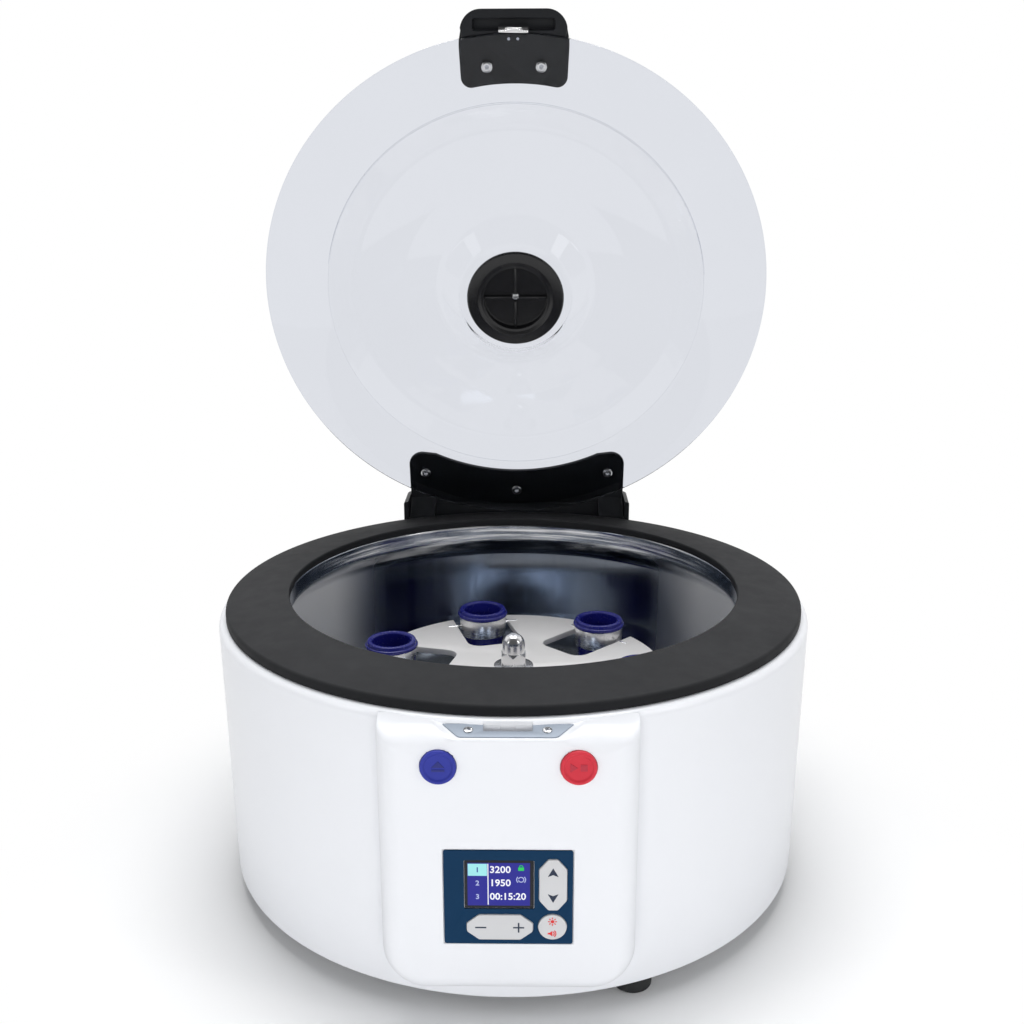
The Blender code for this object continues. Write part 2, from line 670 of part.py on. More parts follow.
def slab(name, outlines, low, high, place, finish_material=None, collection=None):
    """A flat outline, with any holes, from low to high along the third axis of place."""
    curve = bpy.data.curves.new(name, "CURVE")
    curve.dimensions = "2D"
    curve.fill_mode = "BOTH"
    curve.extrude = (high - low) / 2
    for outline in outlines:
        spline = curve.splines.new("POLY")
        spline.points.add(len(outline) - 1)
        for point, (u, v) in zip(spline.points, outline):
            point.co = (u, v, 0, 1)
        spline.use_cyclic_u = True
    guide = bpy.data.objects.new(name, curve)
    CUTTERS.objects.link(guide)
    evaluated = guide.evaluated_get(bpy.context.evaluated_depsgraph_get())
    mesh = bpy.data.meshes.new_from_object(evaluated)
    bpy.data.objects.remove(guide)
    bm = bmesh.new()
    bm.from_mesh(mesh)
    bmesh.ops.remove_doubles(bm, verts=bm.verts, dist=MERGE_DISTANCE)
    bmesh.ops.transform(bm, matrix=place @ Matrix.Translation((0, 0, (low + high) / 2)), verts=bm.verts)
    bmesh.ops.recalc_face_normals(bm, faces=bm.faces)
    bm.to_mesh(mesh)
    bm.free()
    mesh.materials.clear()
    return mesh_object(name, mesh, finish_material, collection)


# Drawing planes: in each the outline's two axes come first, and the slab's depth is the third
PLAN = Matrix.Identity(4)
FRONT_VIEW = Matrix(((1, 0, 0, 0), (0, 0, -1, 0), (0, 1, 0, 0), (0, 0, 0, 1)))
SIDE_VIEW = Matrix(((0, 0, 1, 0), (1, 0, 0, 0), (0, 1, 0, 0), (0, 0, 0, 1)))
BACK_VIEW = Matrix(((1, 0, 0, 0), (0, 0, 1, 0), (0, 1, 0, 0), (0, 0, 0, 1)))
LEDGE_VIEW = Matrix.Translation((0, -PANEL_LEDGE_BACK, PANEL_LEDGE_HIGH)) @ Matrix.Rotation(LEDGE_SLOPE, 4, "X")


def rectangle(left, right, bottom, top, radius=0.0):
    """A rectangle's outline with rounded corners."""
    corners = [(left, bottom), (right, bottom), (right, top), (left, top)]
    return rounded(corners, [radius] * len(corners))


def pivot(name, place):
    """An empty on a joint's axis."""
    empty = bpy.data.objects.new(name, None)
    PARTS.objects.link(empty)
    empty.matrix_world = place
    return empty


def hang(empty, drawn_at, *objs):
    """Parent pieces drawn round drawn_at to an empty that stands where the joint is."""
    for obj in objs:
        obj.parent = empty
        obj.matrix_parent_inverse = Matrix.Translation(-Vector(drawn_at))


def panel_block(name, inset, top_inset, root, collection=None):
    """The panel's boss, or its hollow with a wall inset: plan, front and side outlines in common."""
    half = PANEL_HALF_WIDTH - inset
    face = PANEL_FACE - inset
    bottom = PANEL_BOTTOM + inset
    high = PANEL_LEDGE_HIGH - top_inset
    low = PANEL_LEDGE_LOW - top_inset
    side_round = PANEL_SIDE_ROUNDING - inset
    plan = rounded(
        [(-half, -face), (half, -face), (half, -root), (-half, -root)], [side_round, side_round, 0, 0]
    )
    front_round = PANEL_CORNER_ROUNDING - inset
    front = rounded(
        [(-half, bottom), (half, bottom), (half, high), (-half, high)], [front_round, front_round, 0, 0]
    )
    side = rounded(
        [(-root, high), (-root, bottom), (-face, bottom), (-face, low), (-PANEL_LEDGE_BACK, high)],
        [0, 0, PANEL_FOOT_ROUNDING - inset, PANEL_LEDGE_ROUNDING, 0],
    )
    block = slab(name, [plan], 0, high + CUT_OVERRUN, PLAN, None, collection)
    front_slab = slab(name + "_front", [front], root - CUT_OVERRUN, face + CUT_OVERRUN, FRONT_VIEW, None, CUTTERS)
    side_slab = slab(name + "_side", [side], -half - CUT_OVERRUN, half + CUT_OVERRUN, SIDE_VIEW, None, CUTTERS)
    return common(block, front_slab, side_slab)


def housing():
    """White housing: a turned shell with a deck, the front panel's boss and the rear pad."""
    profile = rounded(
        [
            (DECK_INNER_RADIUS, DECK_TOP),
            (BODY_TOP_RADIUS, DECK_TOP),
            (BODY_BOTTOM_RADIUS, BODY_BOTTOM),
            (BODY_BOTTOM_RADIUS - BODY_WALL, BODY_BOTTOM),
            (BODY_TOP_RADIUS - BODY_WALL, DECK_TOP - DECK_THICKNESS),
            (DECK_INNER_RADIUS, DECK_TOP - DECK_THICKNESS),
        ],
        [0, SHOULDER_RADIUS, BODY_BOTTOM_EDGE, 0, SHOULDER_RADIUS - BODY_WALL, 0],
    )
    shell = turned("housing_shell", profile, WHITE_PAINT, closed=True)
    boss = panel_block("panel_boss", 0, 0, PANEL_ROOT, CUTTERS)
    hollow = panel_block("panel_hollow", BODY_WALL, PANEL_LEDGE_WALL, PANEL_ROOT - CUT_OVERRUN, CUTTERS)
    boss_core = turned("boss_core", inner_room(), None, collection=CUTTERS)
    cut(boss, boss_core)
    pad_plan = rounded(
        [(-PAD_HALF_WIDTH, PAD_ROOT), (PAD_HALF_WIDTH, PAD_ROOT), (PAD_HALF_WIDTH, PAD_FACE), (-PAD_HALF_WIDTH, PAD_FACE)],
        [0, 0, PAD_ROUNDING, PAD_ROUNDING],
    )
    pad = slab("rear_pad", [pad_plan], PAD_BOTTOM, PAD_TOP, PLAN, None, CUTTERS)
    cut(pad, boss_core)
    pad_hollow = box(
        "rear_pad_hollow",
        (-PAD_HALF_WIDTH + PAD_WALL, PAD_ROOT - CUT_OVERRUN, PAD_BOTTOM + PAD_WALL),
        (PAD_HALF_WIDTH - PAD_WALL, PAD_FACE - PAD_WALL, PAD_TOP - PAD_WALL),
        collection=CUTTERS,
    )
    join(shell, boss, pad)
    cut(shell, hollow, pad_hollow)
    join(shell, *board_posts())
    cut(shell, *panel_openings(), lock_pocket(), lock_slot(), inlet_opening())
    cut(shell, *[lock_screw_hole(side) for side in (-1, 1)])
    return shell


def inner_room():
    """Profile of the space inside the housing's turned wall."""
    return [
        (0, DECK_TOP - DECK_THICKNESS - CUT_OVERRUN),
        (BODY_TOP_RADIUS - BODY_WALL - GAP, DECK_TOP - DECK_THICKNESS - CUT_OVERRUN),
        (BODY_BOTTOM_RADIUS - BODY_WALL - GAP, BODY_BOTTOM),
        (0, BODY_BOTTOM),
    ]


def board_posts():
    """Four posts inside the panel that carry the control board."""
    posts = []
    for x in (-POST_X, POST_X):
        for z in (POST_LOW_Z, POST_HIGH_Z):
            start = (x, -PANEL_FACE + BODY_WALL / 2, z)
            end = (x, -BOARD_FRONT - GAP, z)
            posts.append(rod("board_post", POST_RADIUS, start, end, collection=CUTTERS))
    return posts


def key_outlines(clearance):
    """Outlines of the three keys, grown by a clearance."""
    return {
        "up_down_key": up_down_outline(clearance),
        "minus_plus_key": minus_plus_outline(clearance),
        "settings_key": circle((SETTINGS_X, SETTINGS_Z), SETTINGS_RADIUS + clearance),
    }


def up_down_outline(clearance):
    """A tall six-sided key with a short flat at its top and bottom."""
    half_width = UP_DOWN_HALF_WIDTH + clearance
    half_height = UP_DOWN_HALF_HEIGHT + clearance
    right = [(UP_DOWN_TIP, -half_height), (half_width, -UP_DOWN_SHOULDER), (half_width, UP_DOWN_SHOULDER), (UP_DOWN_TIP, half_height)]
    left = [(-u, v) for u, v in reversed(right)]
    points = [(UP_DOWN_X + u, UP_DOWN_Z + v) for u, v in right + left]
    return rounded(points, [KEY_ROUNDING] * len(points))


def minus_plus_outline(clearance):
    """A wide six-sided key with a short flat at each end."""
    half_width = MINUS_PLUS_HALF_WIDTH + clearance
    half_height = MINUS_PLUS_HALF_HEIGHT + clearance
    right = [(MINUS_PLUS_SHOULDER, -half_height), (half_width, -MINUS_PLUS_TIP), (half_width, MINUS_PLUS_TIP), (MINUS_PLUS_SHOULDER, half_height)]
    left = [(-u, v) for u, v in reversed(right)]
    points = [(MINUS_PLUS_X + u, MINUS_PLUS_Z + v) for u, v in right + left]
    return rounded(points, [KEY_ROUNDING] * len(points))


def window_outline(margin):
    """The display window's outline, grown by a margin."""
    return rectangle(
        WINDOW_X - WINDOW_HALF_WIDTH - margin,
        WINDOW_X + WINDOW_HALF_WIDTH + margin,
        WINDOW_Z - WINDOW_HALF_HEIGHT - margin,
        WINDOW_Z + WINDOW_HALF_HEIGHT + margin,
        WINDOW_ROUNDING,
    )


def panel_openings():
    """What the panel's wall is cut with: the keypad's recess, its keys, its window and the buttons."""
    recess = rectangle(
        -KEYPAD_HALF_WIDTH - GAP, KEYPAD_HALF_WIDTH + GAP, KEYPAD_BOTTOM - GAP, KEYPAD_TOP + GAP, KEYPAD_ROUNDING
    )
    depth_end = PANEL_FACE - BODY_WALL - CUT_OVERRUN
    front_end = PANEL_FACE + CUT_OVERRUN
    cutters = [slab("keypad_recess", [recess], PANEL_FACE - KEYPAD_THICKNESS - GAP, front_end, FRONT_VIEW, None, CUTTERS)]
    cutters.append(
        slab("window_seat", [window_outline(GAP)], PANEL_FACE - WINDOW_DEPTH - GAP, front_end, FRONT_VIEW, None, CUTTERS)
    )
    cutters.append(
        slab("window_opening", [window_outline(-WINDOW_LEDGE)], depth_end, front_end, FRONT_VIEW, None, CUTTERS)
    )
    for name, outline in key_outlines(GAP).items():
        cutters.append(slab(name + "_hole", [outline], depth_end, front_end, FRONT_VIEW, None, CUTTERS))
    for side in (-1, 1):
        hole = circle((side * BUTTON_X, BUTTON_Z), BUTTON_RADIUS + GAP)
        cutters.append(slab("button_hole", [hole], depth_end, front_end, FRONT_VIEW, None, CUTTERS))
    return cutters


def lock_plate_outline(margin):
    """The lock plate in its own plane: wide at the back, narrow at the front, with rounded front corners."""
    back = -LOCK_PLATE_MARGIN + margin
    front = -LEDGE_LENGTH + PANEL_LEDGE_ROUNDING - margin
    points = [
        (-LOCK_PLATE_BACK_HALF_WIDTH - margin, back),
        (-LOCK_PLATE_FRONT_HALF_WIDTH - margin, front),
        (LOCK_PLATE_FRONT_HALF_WIDTH + margin, front),
        (LOCK_PLATE_BACK_HALF_WIDTH + margin, back),
    ]
    return rounded(points, [0, LOCK_PLATE_ROUNDING, LOCK_PLATE_ROUNDING, 0])


def lock_pocket():
    """The pocket that the lock plate lies in."""
    return slab("lock_pocket", [lock_plate_outline(GAP)], -LOCK_PLATE_THICKNESS - GAP, CUT_OVERRUN, LEDGE_VIEW, None, CUTTERS)


def lock_slot():
    """The hole in the ledge that the striker drops through."""
    return box(
        "lock_slot",
        (-LOCK_SLOT_HALF_WIDTH - GAP, -LOCK_SLOT_FRONT - GAP, SOLENOID_BOTTOM),
        (LOCK_SLOT_HALF_WIDTH + GAP, -LOCK_SLOT_BACK + GAP, DECK_TOP + CUT_OVERRUN),
        collection=CUTTERS,
    )


def lock_screw_place(side):
    """Where a lock plate screw stands, in the plate's plane."""
    return side * LOCK_SCREW_X, (-LEDGE_LENGTH + PANEL_LEDGE_ROUNDING - LOCK_PLATE_MARGIN) / 2


def lock_screw_hole(side):
    """The threaded hole in the ledge under a lock plate screw."""
    hole = circle(lock_screw_place(side), LOCK_SCREW_SHANK_RADIUS + GAP, SMALL_STEPS)
    depth = -LOCK_PLATE_THICKNESS - LOCK_SCREW_REACH - GAP
    return slab("lock_screw_hole", [hole], depth, CUT_OVERRUN, LEDGE_VIEW, None, CUTTERS)


def lock_plate():
    """The grey plate with the open notch that the striker passes."""
    plate = slab("lock_plate", [lock_plate_outline(0)], -LOCK_PLATE_THICKNESS, 0, LEDGE_VIEW, POLISHED_STEEL)
    notch = box(
        "lock_plate_notch",
        (-LOCK_SLOT_HALF_WIDTH, -LOCK_SLOT_FRONT, SOLENOID_BOTTOM),
        (LOCK_SLOT_HALF_WIDTH, -PANEL_LEDGE_BACK + CUT_OVERRUN, DECK_TOP + CUT_OVERRUN),
        collection=CUTTERS,
    )
    holes = []
    for side in (-1, 1):
        hole = circle(lock_screw_place(side), LOCK_SCREW_SHANK_RADIUS + GAP, SMALL_STEPS)
        holes.append(
            slab("lock_plate_hole", [hole], -LOCK_PLATE_THICKNESS - CUT_OVERRUN, CUT_OVERRUN, LEDGE_VIEW, None, CUTTERS)
        )
    cut(plate, notch, *holes)
    for side, name in ((-1, "lock_plate_screw_left"), (1, "lock_plate_screw_right")):
        lock_screw(name, side)


def lock_screw(name, side):
    """A small round-headed screw standing square to the plate."""
    head_low = GAP
    head_high = GAP + LOCK_SCREW_HEAD_HEIGHT
    profile = rounded(
        [
            (0, head_high),
            (LOCK_SCREW_HEAD_RADIUS, head_high),
            (LOCK_SCREW_HEAD_RADIUS, head_low),
            (LOCK_SCREW_SHANK_RADIUS, head_low),
            (LOCK_SCREW_SHANK_RADIUS, -LOCK_PLATE_THICKNESS - LOCK_SCREW_REACH),
            (0, -LOCK_PLATE_THICKNESS - LOCK_SCREW_REACH),
        ],
        [0, LOCK_SCREW_HEAD_HEIGHT / 2, 0, 0, 0, 0],
        2,
    )
    screw = turned(name, profile, POLISHED_STEEL, steps=SMALL_STEPS)
    x, y = lock_screw_place(side)
    screw.matrix_world = LEDGE_VIEW @ Matrix.Translation((x, y, 0))


def gasket():
    """Black rubber ring that closes the joint between the housing and the bowl."""
    notch_radius = GASKET_INNER_RADIUS + BOWL_SKIRT_WIDTH + BOWL_STEEL
    profile = rounded(
        [
            (GASKET_INNER_RADIUS, GASKET_INNER_TOP),
            (GASKET_OUTER_RADIUS, GASKET_OUTER_TOP),
            (GASKET_OUTER_RADIUS, GASKET_BOTTOM),
            (notch_radius, GASKET_BOTTOM),
            (notch_radius, BOWL_TOP + GAP),
            (GASKET_INNER_RADIUS, BOWL_TOP + GAP),
        ],
        [GASKET_EDGE, GASKET_EDGE, 0, 0, 0, 0],
        2,
    )
    return turned("rim_gasket", profile, GASKET_RUBBER, closed=True)


def bowl():
    """Steel bowl: a skirt on the deck, a neck under the gasket, a wide barrel and a raised middle."""
    skirt_radius = GASKET_INNER_RADIUS + BOWL_SKIRT_WIDTH
    neck_radius = GASKET_INNER_RADIUS + GAP
    profile = rounded(
        [
            (skirt_radius, DECK_TOP + GAP),
            (skirt_radius, BOWL_TOP),
            (neck_radius, BOWL_TOP),
            (neck_radius, BOWL_NECK_BOTTOM),
            (BOWL_RADIUS, BOWL_SHOULDER),
            (BOWL_RADIUS, BOWL_FLOOR),
            (BOWL_CONE_FOOT_RADIUS, BOWL_FLOOR),
            (BOWL_CONE_TOP_RADIUS, BOWL_CONE_TOP),
            (BOWL_HOLE_RADIUS, BOWL_CONE_TOP),
        ],
        [0, 0, 0, 0, BOWL_SHOULDER_ROUNDING, BOWL_FLOOR_ROUNDING, 0, 0, 0],
        2,
    )
    return solidify(turned("rotor_bowl", profile, POLISHED_STEEL), BOWL_STEEL, 1)


def base():
    """Steel pan under the housing, with air slots, on four rubber feet."""
    radius = BODY_BOTTOM_RADIUS - BODY_WALL - GAP
    profile = [(0, BASE_PLATE_TOP), (radius, BASE_PLATE_TOP), (radius, BASE_PLATE_BOTTOM), (0, BASE_PLATE_BOTTOM)]
    plate = turned("base_plate", profile, POLISHED_STEEL)
    slots = []
    for index in range(VENT_COUNT):
        turn = Matrix.Rotation(2 * math.pi * index / VENT_COUNT, 4, "Z")
        slot = rectangle(
            VENT_CIRCLE_RADIUS - VENT_LENGTH / 2, VENT_CIRCLE_RADIUS + VENT_LENGTH / 2, -VENT_WIDTH / 2, VENT_WIDTH / 2
        )
        slots.append(slab("vent", [slot], BASE_PLATE_BOTTOM - CUT_OVERRUN, BASE_PLATE_TOP + CUT_OVERRUN, turn, None, CUTTERS))
    cut(plate, *slots)
    foot_top = BASE_PLATE_BOTTOM - GAP
    foot = [(0, foot_top), (FOOT_RADIUS, foot_top), (FOOT_RADIUS, 0), (0, 0)]
    for index in range(FOOT_COUNT):
        angle = FOOT_FIRST_ANGLE + 2 * math.pi * index / FOOT_COUNT
        piece = turned(f"foot_{index + 1}", rounded(foot, [0, 0, FOOT_EDGE, 0], 2), FOOT_RUBBER, steps=BUCKET_STEPS)
        piece.location = (FOOT_CIRCLE_RADIUS * math.cos(angle), FOOT_CIRCLE_RADIUS * math.sin(angle), 0)


def motor():
    """Motor on a round plate that three rubber dampers carry on the base plate."""
    damper = [
        (0, DAMPER_BOTTOM + DAMPER_HEIGHT),
        (DAMPER_RADIUS, DAMPER_BOTTOM + DAMPER_HEIGHT),
        (DAMPER_RADIUS - DAMPER_WAIST, DAMPER_BOTTOM + DAMPER_HEIGHT / 2),
        (DAMPER_RADIUS, DAMPER_BOTTOM),
        (0, DAMPER_BOTTOM),
    ]
    for index in range(DAMPER_COUNT):
        angle = 2 * math.pi * index / DAMPER_COUNT + math.pi / 2
        piece = turned(f"motor_damper_{index + 1}", damper, FOOT_RUBBER, steps=SMALL_STEPS)
        piece.location = (DAMPER_CIRCLE_RADIUS * math.cos(angle), DAMPER_CIRCLE_RADIUS * math.sin(angle), 0)
    plate_top = MOTOR_PLATE_BOTTOM + MOTOR_PLATE_THICKNESS
    turned(
        "motor_mount",
        [(0, plate_top), (MOTOR_PLATE_RADIUS, plate_top), (MOTOR_PLATE_RADIUS, MOTOR_PLATE_BOTTOM), (0, MOTOR_PLATE_BOTTOM)],
        BRIGHT_ALUMINIUM,
        steps=MEDIUM_STEPS,
    )
    bore_bottom = NOSE_TOP - SHAFT_DEPTH_IN_MOTOR - GAP
    profile = rounded(
        [
            (0, bore_bottom),
            (SHAFT_BORE_RADIUS, bore_bottom),
            (SHAFT_BORE_RADIUS, NOSE_TOP),
            (MOTOR_NOSE_RADIUS, NOSE_TOP),
            (MOTOR_NOSE_RADIUS, MOTOR_TOP),
            (MOTOR_RADIUS, MOTOR_TOP),
            (MOTOR_RADIUS, MOTOR_BOTTOM),
            (0, MOTOR_BOTTOM),
        ],
        [0, 0, 0, MOTOR_EDGE, 0, MOTOR_EDGE, 0, 0],
        2,
    )
    turned("motor_body", profile, BLACK_PLASTIC, steps=MEDIUM_STEPS)


def rotor():
    """Shaft, slotted plate on its hub, washer and domed nut."""
    spin = pivot("rotor_axis", Matrix.Identity(4))
    shaft_bottom = NOSE_TOP - SHAFT_DEPTH_IN_MOTOR
    collar_top = HUB_BOTTOM - GAP
    shaft = turned(
        "motor_shaft",
        [
            (0, SHAFT_TOP),
            (SHAFT_RADIUS, SHAFT_TOP),
            (SHAFT_RADIUS, collar_top),
            (SHAFT_COLLAR_RADIUS, collar_top),
            (SHAFT_COLLAR_RADIUS, collar_top - SHAFT_COLLAR_HEIGHT),
            (SHAFT_RADIUS, collar_top - SHAFT_COLLAR_HEIGHT),
            (SHAFT_RADIUS, shaft_bottom),
            (0, shaft_bottom),
        ],
        POLISHED_STEEL,
        steps=SMALL_STEPS,
    )
    plate_profile = rounded(
        [
            (SHAFT_BORE_RADIUS, PLATE_TOP),
            (PLATE_RADIUS, PLATE_TOP),
            (PLATE_RADIUS, PLATE_BOTTOM),
            (HUB_RADIUS, PLATE_BOTTOM),
            (HUB_RADIUS, HUB_BOTTOM),
            (SHAFT_BORE_RADIUS, HUB_BOTTOM),
        ],
        [0, PLATE_EDGE, PLATE_EDGE, 0, 0, 0],
        1,
    )
    plate = turned("rotor_plate", plate_profile, BRIGHT_ALUMINIUM, closed=True)
    cutters = []
    for index in range(BUCKET_COUNT):
        turn = Matrix.Rotation(bucket_angle(index), 4, "Z")
        far = PLATE_RADIUS + CUT_OVERRUN
        slot = rounded(
            [(SLOT_INNER_END, -SLOT_HALF_WIDTH), (far, -SLOT_HALF_WIDTH), (far, SLOT_HALF_WIDTH), (SLOT_INNER_END, SLOT_HALF_WIDTH)],
            [SLOT_CORNER, 0, 0, SLOT_CORNER],
        )
        cutters.append(slab("slot", [slot], PLATE_BOTTOM - CUT_OVERRUN, PLATE_TOP + CUT_OVERRUN, turn, None, CUTTERS))
        half = TRUNNION_REACH + GAP
        start = turn @ Vector((BUCKET_CIRCLE_RADIUS, -half, PLATE_TOP))
        end = turn @ Vector((BUCKET_CIRCLE_RADIUS, half, PLATE_TOP))
        cutters.append(rod("trunnion_groove", TRUNNION_RADIUS + RUNNING_GAP, start, end, collection=CUTTERS))
    cut(plate, *cutters)
    washer_top = WASHER_BOTTOM + WASHER_THICKNESS
    washer = turned(
        "rotor_washer",
        [
            (SHAFT_BORE_RADIUS, washer_top),
            (WASHER_RADIUS, washer_top),
            (WASHER_RADIUS, WASHER_BOTTOM),
            (SHAFT_BORE_RADIUS, WASHER_BOTTOM),
        ],
        POLISHED_STEEL,
        closed=True,
        steps=MEDIUM_STEPS,
    )
    hang(spin, (0, 0, 0), shaft, plate, washer, rotor_nut())


def rotor_nut():
    """Domed nut: a six-sided foot under a round dome, with a blind thread."""
    dome_foot = NUT_HEX_TOP + NUT_DOME_NECK
    arc = [
        (NUT_DOME_RADIUS * math.sin(a), dome_foot + NUT_DOME_RADIUS * math.cos(a))
        for a in np.linspace(0, math.pi / 2, 5)
    ]
    dome = turned(
        "nut_dome",
        arc + [(NUT_DOME_RADIUS, NUT_HEX_TOP - NUT_HEX_HEIGHT / 2), (0, NUT_HEX_TOP - NUT_HEX_HEIGHT / 2)],
        None,
        steps=BUCKET_STEPS,
        collection=CUTTERS,
    )
    nut = rod("rotor_nut", NUT_HEX_RADIUS, (0, 0, NUT_BOTTOM), (0, 0, NUT_HEX_TOP), POLISHED_STEEL, steps=6)
    join(nut, dome)
    thread = rod(
        "nut_thread",
        SHAFT_BORE_RADIUS,
        (0, 0, NUT_BOTTOM - CUT_OVERRUN),
        (0, 0, NUT_BOTTOM + NUT_THREAD_DEPTH),
        collection=CUTTERS,
    )
    return cut(nut, thread)


def bucket_angle(index):
    """Direction of a bucket from the rotor's axis."""
    return BUCKET_FIRST_ANGLE + 2 * math.pi * index / BUCKET_COUNT


def buckets():
    """Blue cups in steel collars, whose side pins lie in grooves in the rotor plate."""
    cup_radius = CUP_BORE_RADIUS + CUP_WALL
    rim_bottom = COLLAR_ABOVE_PIVOT + GAP
    cup_profile = rounded(
        [
            (0, -CUP_DEPTH_BELOW_PIVOT),
            (CUP_BORE_RADIUS, -CUP_DEPTH_BELOW_PIVOT),
            (CUP_BORE_RADIUS, rim_bottom + RIM_HEIGHT),
            (RIM_RADIUS, rim_bottom + RIM_HEIGHT),
            (RIM_RADIUS, rim_bottom),
            (cup_radius, rim_bottom),
            (cup_radius, -CUP_DEPTH_BELOW_PIVOT - CUP_FLOOR),
            (0, -CUP_DEPTH_BELOW_PIVOT - CUP_FLOOR),
        ],
        [0, 0, 0, RIM_EDGE, 0, 0, CUP_BOTTOM_ROUNDING, 0],
        2,
    )
    collar_inner = cup_radius + GAP
    collar_profile = [
        (COLLAR_RADIUS, COLLAR_ABOVE_PIVOT),
        (COLLAR_RADIUS, -COLLAR_BELOW_PIVOT),
        (collar_inner, -COLLAR_BELOW_PIVOT),
        (collar_inner, COLLAR_ABOVE_PIVOT),
    ]
    for index in range(BUCKET_COUNT):
        angle = bucket_angle(index)
        place = Matrix.Rotation(angle, 4, "Z") @ Matrix.Translation((BUCKET_CIRCLE_RADIUS, 0, PLATE_TOP))
        swing = pivot(f"bucket_{index + 1}_axis", place)
        cup = turned(f"bucket_{index + 1}_cup", cup_profile, BLUE_PLASTIC, steps=BUCKET_STEPS)
        collar = turned(f"bucket_{index + 1}_collar", collar_profile, POLISHED_STEEL, closed=True, steps=BUCKET_STEPS)
        pins = []
        for side in (-1, 1):
            start = (0, side * (collar_inner + COLLAR_RADIUS) / 2, 0)
            pins.append(
                rod("trunnion_pin", TRUNNION_RADIUS, start, (0, side * TRUNNION_REACH, 0), steps=HEAD_STEPS, collection=CUTTERS)
            )
        join(collar, *pins)
        hang(swing, (0, 0, 0), cup, collar, *pins)


def lid():
    """Clear lid with its port, latch and hinge bracket, drawn closed and turned open."""
    place = Matrix.Translation((0, HINGE_Y, HINGE_Z)) @ Matrix.Rotation(-LID_OPEN_ANGLE, 4, "X")
    hinge = pivot("lid_hinge_axis", place)
    pieces = [lid_shell(), *lid_port(), *latch(), *lid_bracket()]
    hang(hinge, (0, HINGE_Y, HINGE_Z), *pieces)
    for piece in pieces:
        for step in piece.modifiers:
            if step.type == "BOOLEAN":
                hang_cutters(hinge, step.object)


def hang_cutters(hinge, cutter):
    """Let a cutter, and what cuts it, follow the lid."""
    hang(hinge, (0, HINGE_Y, HINGE_Z), cutter)
    for step in cutter.modifiers:
        if step.type == "BOOLEAN":
            hang_cutters(hinge, step.object)


def lid_shell():
    """Clear shell: flat rim, a step up to a shallow dome, and a bump down to the port."""
    step_top = LID_PLANE + LID_STEP_HEIGHT
    profile = rounded(
        [
            (LID_RADIUS, LID_PLANE),
            (LID_RIM_INNER_RADIUS, LID_PLANE),
            (LID_STEP_INNER_RADIUS, step_top),
            (LID_DOME_RADIUS, step_top + LID_DOME_RISE),
            (LID_BUMP_RADIUS, step_top + LID_DOME_RISE),
            (LID_BUMP_FOOT_RADIUS, PORT_SEAT),
            (PORT_HOLE_RADIUS, PORT_SEAT),
        ],
        [0, LID_STEP_ROUNDING, LID_STEP_ROUNDING, 0, LID_BUMP_ROUNDING, 0, 0],
        2,
    )
    shell = solidify(turned("lid_shell", profile, CLEAR_PLASTIC), LID_THICKNESS, -1)
    return cut(shell, *[screw_hole(x, y, LID_PLANE - CUT_OVERRUN, LID_TOP + CUT_OVERRUN) for x, y in lid_screw_places()])


def lid_screw_places():
    """Where screws pass the lid's rim: three at the hinge and two at the latch."""
    return [
        (-HINGE_SCREW_SIDE_X, HINGE_SCREW_SIDE_Y),
        (HINGE_SCREW_SIDE_X, HINGE_SCREW_SIDE_Y),
        (0, HINGE_SCREW_MIDDLE_Y),
        (-LATCH_SCREW_X, -LATCH_SCREW_Y),
        (LATCH_SCREW_X, -LATCH_SCREW_Y),
    ]


def screw_hole(x, y, low, high):
    """A clearance hole for a lid screw."""
    radius = SCREW_SHANK_RADIUS + GAP
    return rod("lid_screw_hole", radius, (x, y, low), (x, y, high), steps=HEAD_STEPS, collection=CUTTERS)


def lid_screw(name, x, y):
    """A round-headed screw put in from under the lid, with a hexagonal socket."""
    head_high = LID_PLANE - GAP
    head_low = head_high - SCREW_HEAD_HEIGHT
    tip = LID_TOP + GAP + SCREW_BITE
    socket_top = head_low + SCREW_SOCKET_DEPTH
    profile = rounded(
        [
            (0, tip),
            (SCREW_SHANK_RADIUS, tip),
            (SCREW_SHANK_RADIUS, head_high),
            (SCREW_HEAD_RADIUS, head_high),
            (SCREW_HEAD_RADIUS, head_low),
            (SCREW_SOCKET_RADIUS, head_low),
            (SCREW_SOCKET_RADIUS, socket_top),
            (0, socket_top),
        ],
        [0, 0, 0, 0, SCREW_HEAD_EDGE, 0, 0, 0],
        2,
    )
    screw = turned(name, profile, POLISHED_STEEL, steps=HEAD_STEPS)
    screw.location = (x, y, 0)
    return screw


